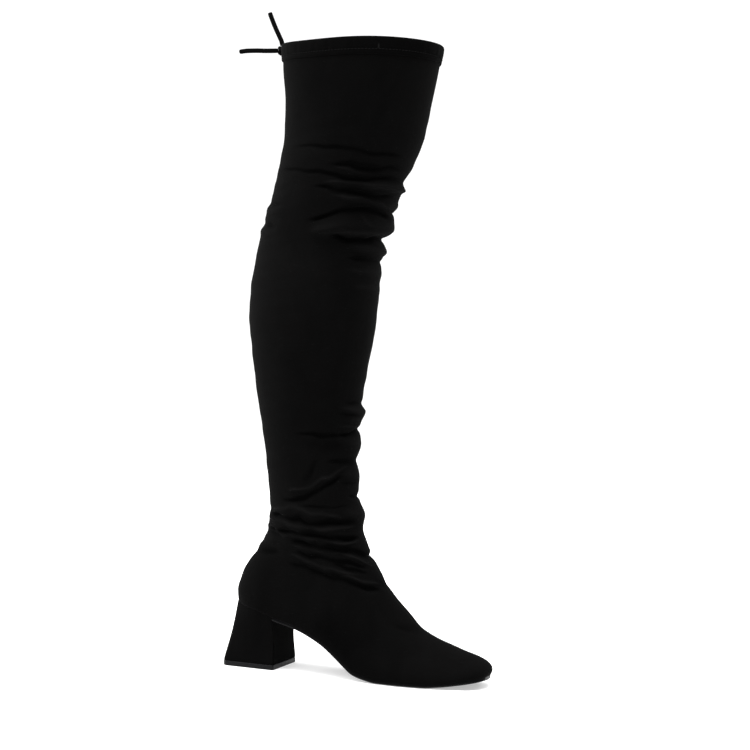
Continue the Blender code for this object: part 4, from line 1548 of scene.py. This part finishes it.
@dataclass
class Heel:
    """Flared block heel under the seat, and its tread piece."""

    form: BootForm
    breast: float = 0.179
    length: float = 0.0514
    width: float = 0.0484
    corner: float = 0.0060
    breast_corner: float = 0.0012
    tip: float = 0.0044
    tip_round: float = 0.0006
    waist: float = 0.10
    closeness: float = 0.00004
    # Painted shade on the breast face, which lies under the arch away from the light.
    breast_painted_shade: float = -1.0
    sharp_angle: float = 0.7
    edge_inset: float = 0.010
    across: int = 40
    half_around: int = 96
    levels: int = 60
    corner_points: int = 17
    seat_samples: int = 400
    tip_steps: int = 6

    def close_front(self, half: Array) -> Array:
        """Whole outline from one side's: the side, straight across the breast, and back."""
        share = np.linspace(0, 1, self.across)[1:-1, None]
        mirror = half * (1, -1, 1)
        front = half[-1] + (mirror[-1] - half[-1]) * share
        return np.concatenate([half, front, mirror[::-1][:-1]])

    def block(self, z: float, inset: float = 0.0) -> Array:
        """Level outline of the block: a rectangle with rounded back corners."""
        half_length, half_width = self.length / 2 - inset, self.width / 2 - inset
        turn = np.linspace(0, np.pi / 2, self.corner_points)
        early, late = 1 - np.cos(turn), 1 - np.sin(turn)
        radius, small = self.corner, self.breast_corner
        back = np.stack([-half_length + radius * early, -half_width + radius * late], axis=1)
        front = np.stack([half_length - small * late, -half_width + small * early], axis=1)
        line = np.concatenate([[(-half_length, 0.0)], back, front])
        points = np.column_stack([line, np.full(len(line), z)])
        return self.close_front(resample(points[None], np.linspace(0, 1, self.half_around))[0])

    def seat(self) -> Array:
        """Outline of the heel's top, along the last's seat to the breast."""
        s = np.linspace(0, 1, self.seat_samples) ** 2 * self.breast
        x = self.form.place(s)
        wide = self.form.plan_half(s) * quarter_round(s / self.form.seat_rounding)
        points = np.stack([x, -wide, self.form.bottom_height(x) - self.closeness], axis=1)
        return self.close_front(resample(points[None], np.linspace(0, 1, self.half_around))[0])

    def build(self) -> Object:
        """The block: seat and foot outlines mixed by height, drawn in at the waist."""
        top, foot = self.seat(), self.block(self.tip + self.form.gap)
        t = np.concatenate([[0.0], np.linspace(0.004, 0.996, self.levels), [1.0]])[:, None, None]
        rings = top[None] * (1 - t) + foot[None] * t
        rings[:, :, 1] *= 1 - self.waist * np.sin(np.pi * t[:, :, 0]) ** 2
        middle = rings[:, :, :2].mean(axis=1, keepdims=True)
        edge = 1 - self.edge_inset * bell(t * self.levels) - self.edge_inset * bell((1 - t) * self.levels)
        rings[:, :, :2] = middle + (rings[:, :, :2] - middle) * edge
        piece = ring_piece("heel_block", rings)
        piece.data.set_sharp_from_angle(angle=self.sharp_angle)
        ring = np.zeros(rings.shape[1])
        # Painted shade on the breast face of the heel.
        ring[self.half_around - 1:self.half_around + self.across - 1] = self.breast_painted_shade
        set_tone(piece, np.concatenate([np.tile(ring, len(rings)), np.zeros(2)]))
        return piece

    def build_tip(self) -> Object:
        """The tread piece: the block's outline carried down, its edges rounded."""
        turn = np.linspace(0, np.pi / 2, self.tip_steps)
        edge = self.tip_round * np.stack([1 - np.sin(turn), 1 - np.cos(turn)], axis=1)
        upper_edge = edge[::-1] * (-1, 1) + (self.tip, 0)
        outlines = [self.block(z, inset) for z, inset in np.concatenate([upper_edge, edge])]
        return ring_piece("heel_tread", np.stack(outlines))


class Lamp(NamedTuple):
    """Square lamp: degrees round from the camera and up, metres across, and watts."""

    name: str
    around: float
    up: float
    size: float
    power: float


@dataclass(frozen=True)
class Studio:
    """Pale floor, soft lights and the camera at the photograph's angle."""

    yaw: float = 22.2
    pitch: float = 1.45
    roll: float = 1.8
    distance: float = 1.617
    height: float = 0.306
    focal_px: float = 1789.0
    origin_px: float = 267.4
    picture_px: float = 750.0
    sensor_mm: float = 36.0
    world_light: float = 0.62
    floor_half: float = 40.0
    wall_at: float = 3.0
    wall_curve: float = 2.5
    wall_height: float = 6.0
    wall_points: int = 24
    floor_tone: float = 0.66
    floor_glow: float = 0.42
    lamp_distance: float = 2.5
    boot_middle: tuple[float, float, float] = (0.08, 0.0, 0.28)
    lamps: tuple[Lamp, ...] = (
        Lamp("above", 0, 80, 2.0, 150.0),
        Lamp("key", -60, 40, 1.2, 40.0),
        Lamp("back_edge", -110, 15, 1.0, 50.0),
        Lamp("toe_edge", 110, 35, 1.0, 25.0),
    )

    def stand(self, name: str, data: ID, axes: Sequence[Array], place: Array) -> Object:
        """Object of a camera or a lamp.

        Args:
            name: the object's name.
            data: what it shows.
            axes: its own side, top and back, as unit vectors.
            place: where it stands.

        Returns:
            The object, in the scene.
        """
        matrix = np.eye(4)
        matrix[:3] = np.stack([*axes, place], axis=1)
        piece = add_object(name, data)
        piece.matrix_world = Matrix(matrix.tolist())
        return piece

    def level_axes(self) -> tuple[Array, Array]:
        """Level directions to the picture's right and straight ahead of the camera."""
        yaw = math.radians(self.yaw)
        return np.array([math.cos(yaw), math.sin(yaw), 0.0]), np.array([-math.sin(yaw), math.cos(yaw), 0.0])

    def camera(self) -> None:
        """Pinhole camera: level direction from the yaw, tipped by the pitch, then rolled."""
        pitch, roll = math.radians(self.pitch), math.radians(self.roll)
        right, ahead = self.level_axes()
        up = np.array([0.0, 0.0, 1.0])
        look = ahead * math.cos(pitch) - up * math.sin(pitch)
        top = ahead * math.sin(pitch) + up * math.cos(pitch)
        side = right * math.cos(roll) + top * math.sin(roll)
        top = -right * math.sin(roll) + top * math.cos(roll)
        shift = (self.origin_px - self.picture_px / 2) / self.focal_px * self.distance
        data = bpy.data.cameras.new("camera")
        data.sensor_width = self.sensor_mm
        data.lens = self.focal_px / self.picture_px * self.sensor_mm
        data.clip_start, data.clip_end = 0.05, 50.0
        eye = self.height * up - (self.distance * ahead + shift * right)
        bpy.context.scene.camera = self.stand("camera", data, (side, top, -look), eye)

    def backdrop(self) -> None:
        """Floor that curves up into a wall far behind: a flat run, a quarter circle, a rise."""
        turn = np.linspace(0, np.pi / 2, self.wall_points)
        curve = self.wall_at + self.wall_curve * np.sin(turn)
        run = np.concatenate([[-self.floor_half], curve, [self.wall_at + self.wall_curve]])
        rise = np.concatenate([[0.0], self.wall_curve * (1 - np.cos(turn)), [self.wall_height]])
        right, ahead = self.level_axes()
        wide = np.array([-self.floor_half, self.floor_half])
        points = run[:, None, None] * ahead + wide[None, :, None] * right
        points[:, :, 2] = rise[:, None]
        mesh = fill_mesh("floor", points.reshape(-1, 3), [grid_quads(len(run), 2, False, False)])
        material, _, shader = new_material("pale_floor")
        feed(shader, {
            "Base Color": (*[self.floor_tone] * 3, 1.0),
            "Emission Color": (1.0, 1.0, 1.0, 1.0),
            "Emission Strength": self.floor_glow,
            "Roughness": 0.8,
            "Specular IOR Level": 0.1,
        })
        mesh.materials.append(material)
        add_object("floor", mesh)

    def light(self, lamp: Lamp) -> None:
        """Square area light that faces the boot's middle."""
        data = bpy.data.lights.new(lamp.name, "AREA")
        data.size = lamp.size
        data.energy = lamp.power
        a, e = math.radians(self.yaw + lamp.around), math.radians(lamp.up)
        way = np.array([math.sin(a) * math.cos(e), -math.cos(a) * math.cos(e), math.sin(e)])
        side = unit(np.cross((0.0, 0.0, 1.0), way))
        place = np.array(self.boot_middle) + self.lamp_distance * way
        self.stand(lamp.name, data, (side, np.cross(way, side), way), place)

    def build(self) -> None:
        """World, floor, lights and camera."""
        world = bpy.data.worlds.new("studio")
        world.use_nodes = True
        background = world.node_tree.nodes["Background"]
        feed(background, {"Color": (1.0, 1.0, 1.0, 1.0), "Strength": self.world_light})
        bpy.context.scene.world = world
        bpy.context.scene.view_settings.view_transform = "Standard"
        self.backdrop()
        for lamp in self.lamps:
            self.light(lamp)
        self.camera()


def main() -> None:
    """Builds the studio and each piece of the boot, and logs it."""
    logging.basicConfig(level=logging.INFO, format="%(name)s %(message)s")
    form = BootForm()
    Studio().build()
    suede = Suede("black_suede").material()
    cord = Suede("cord_suede", nap_scale=3200.0, patch_scale=120.0).material()
    thread = Suede("black_thread", dark=(0.005, 0.005, 0.005), light=(0.011, 0.011, 0.011)).material()
    lining = Knit("knit_lining", (0.009, 0.009, 0.009)).material()
    dyed = Rubber("dyed_edge", (0.0018, 0.0018, 0.0019), 0.55, 0.02).material()
    sole_rubber = Rubber("sole_rubber", (0.0030, 0.0030, 0.0032), 0.34, 0.075).material()
    tip_rubber = Rubber("tip_rubber", (0.0045, 0.0045, 0.0050), 0.24, 0.08).material()

    tie = Drawstring(form)
    back_end = tie.end("tie_end_back", tie.back_end, tie.back_length)
    settle(back_end, cord, "suede_cord", "drawstring_end_back")
    upper_end = tie.end("tie_end_up", tie.upper_end, tie.upper_length)
    settle(upper_end, cord, "suede_cord", "drawstring_end_up")
    settle(tie.knot(), cord, "suede_cord", "drawstring_knot")
    upper = Upper(form)
    upper.dress(upper.build(), suede, lining)
    casing = CollarCasing(form)
    settle(casing.build(), suede, "suede", "collar_casing")
    settle(casing.build_stitches(), thread, "suede")
    outsole = Outsole(form)
    outsole.dress(outsole.build(), dyed, sole_rubber)
    settle(Insole(form).build(), lining, "sock_lining", "insole")
    heel = Heel(form)
    settle(heel.build(), suede, "suede", "heel")
    settle(heel.build_tip(), tip_rubber, "tip_rubber", "heel_tip")


if __name__ == "__main__":
    main()
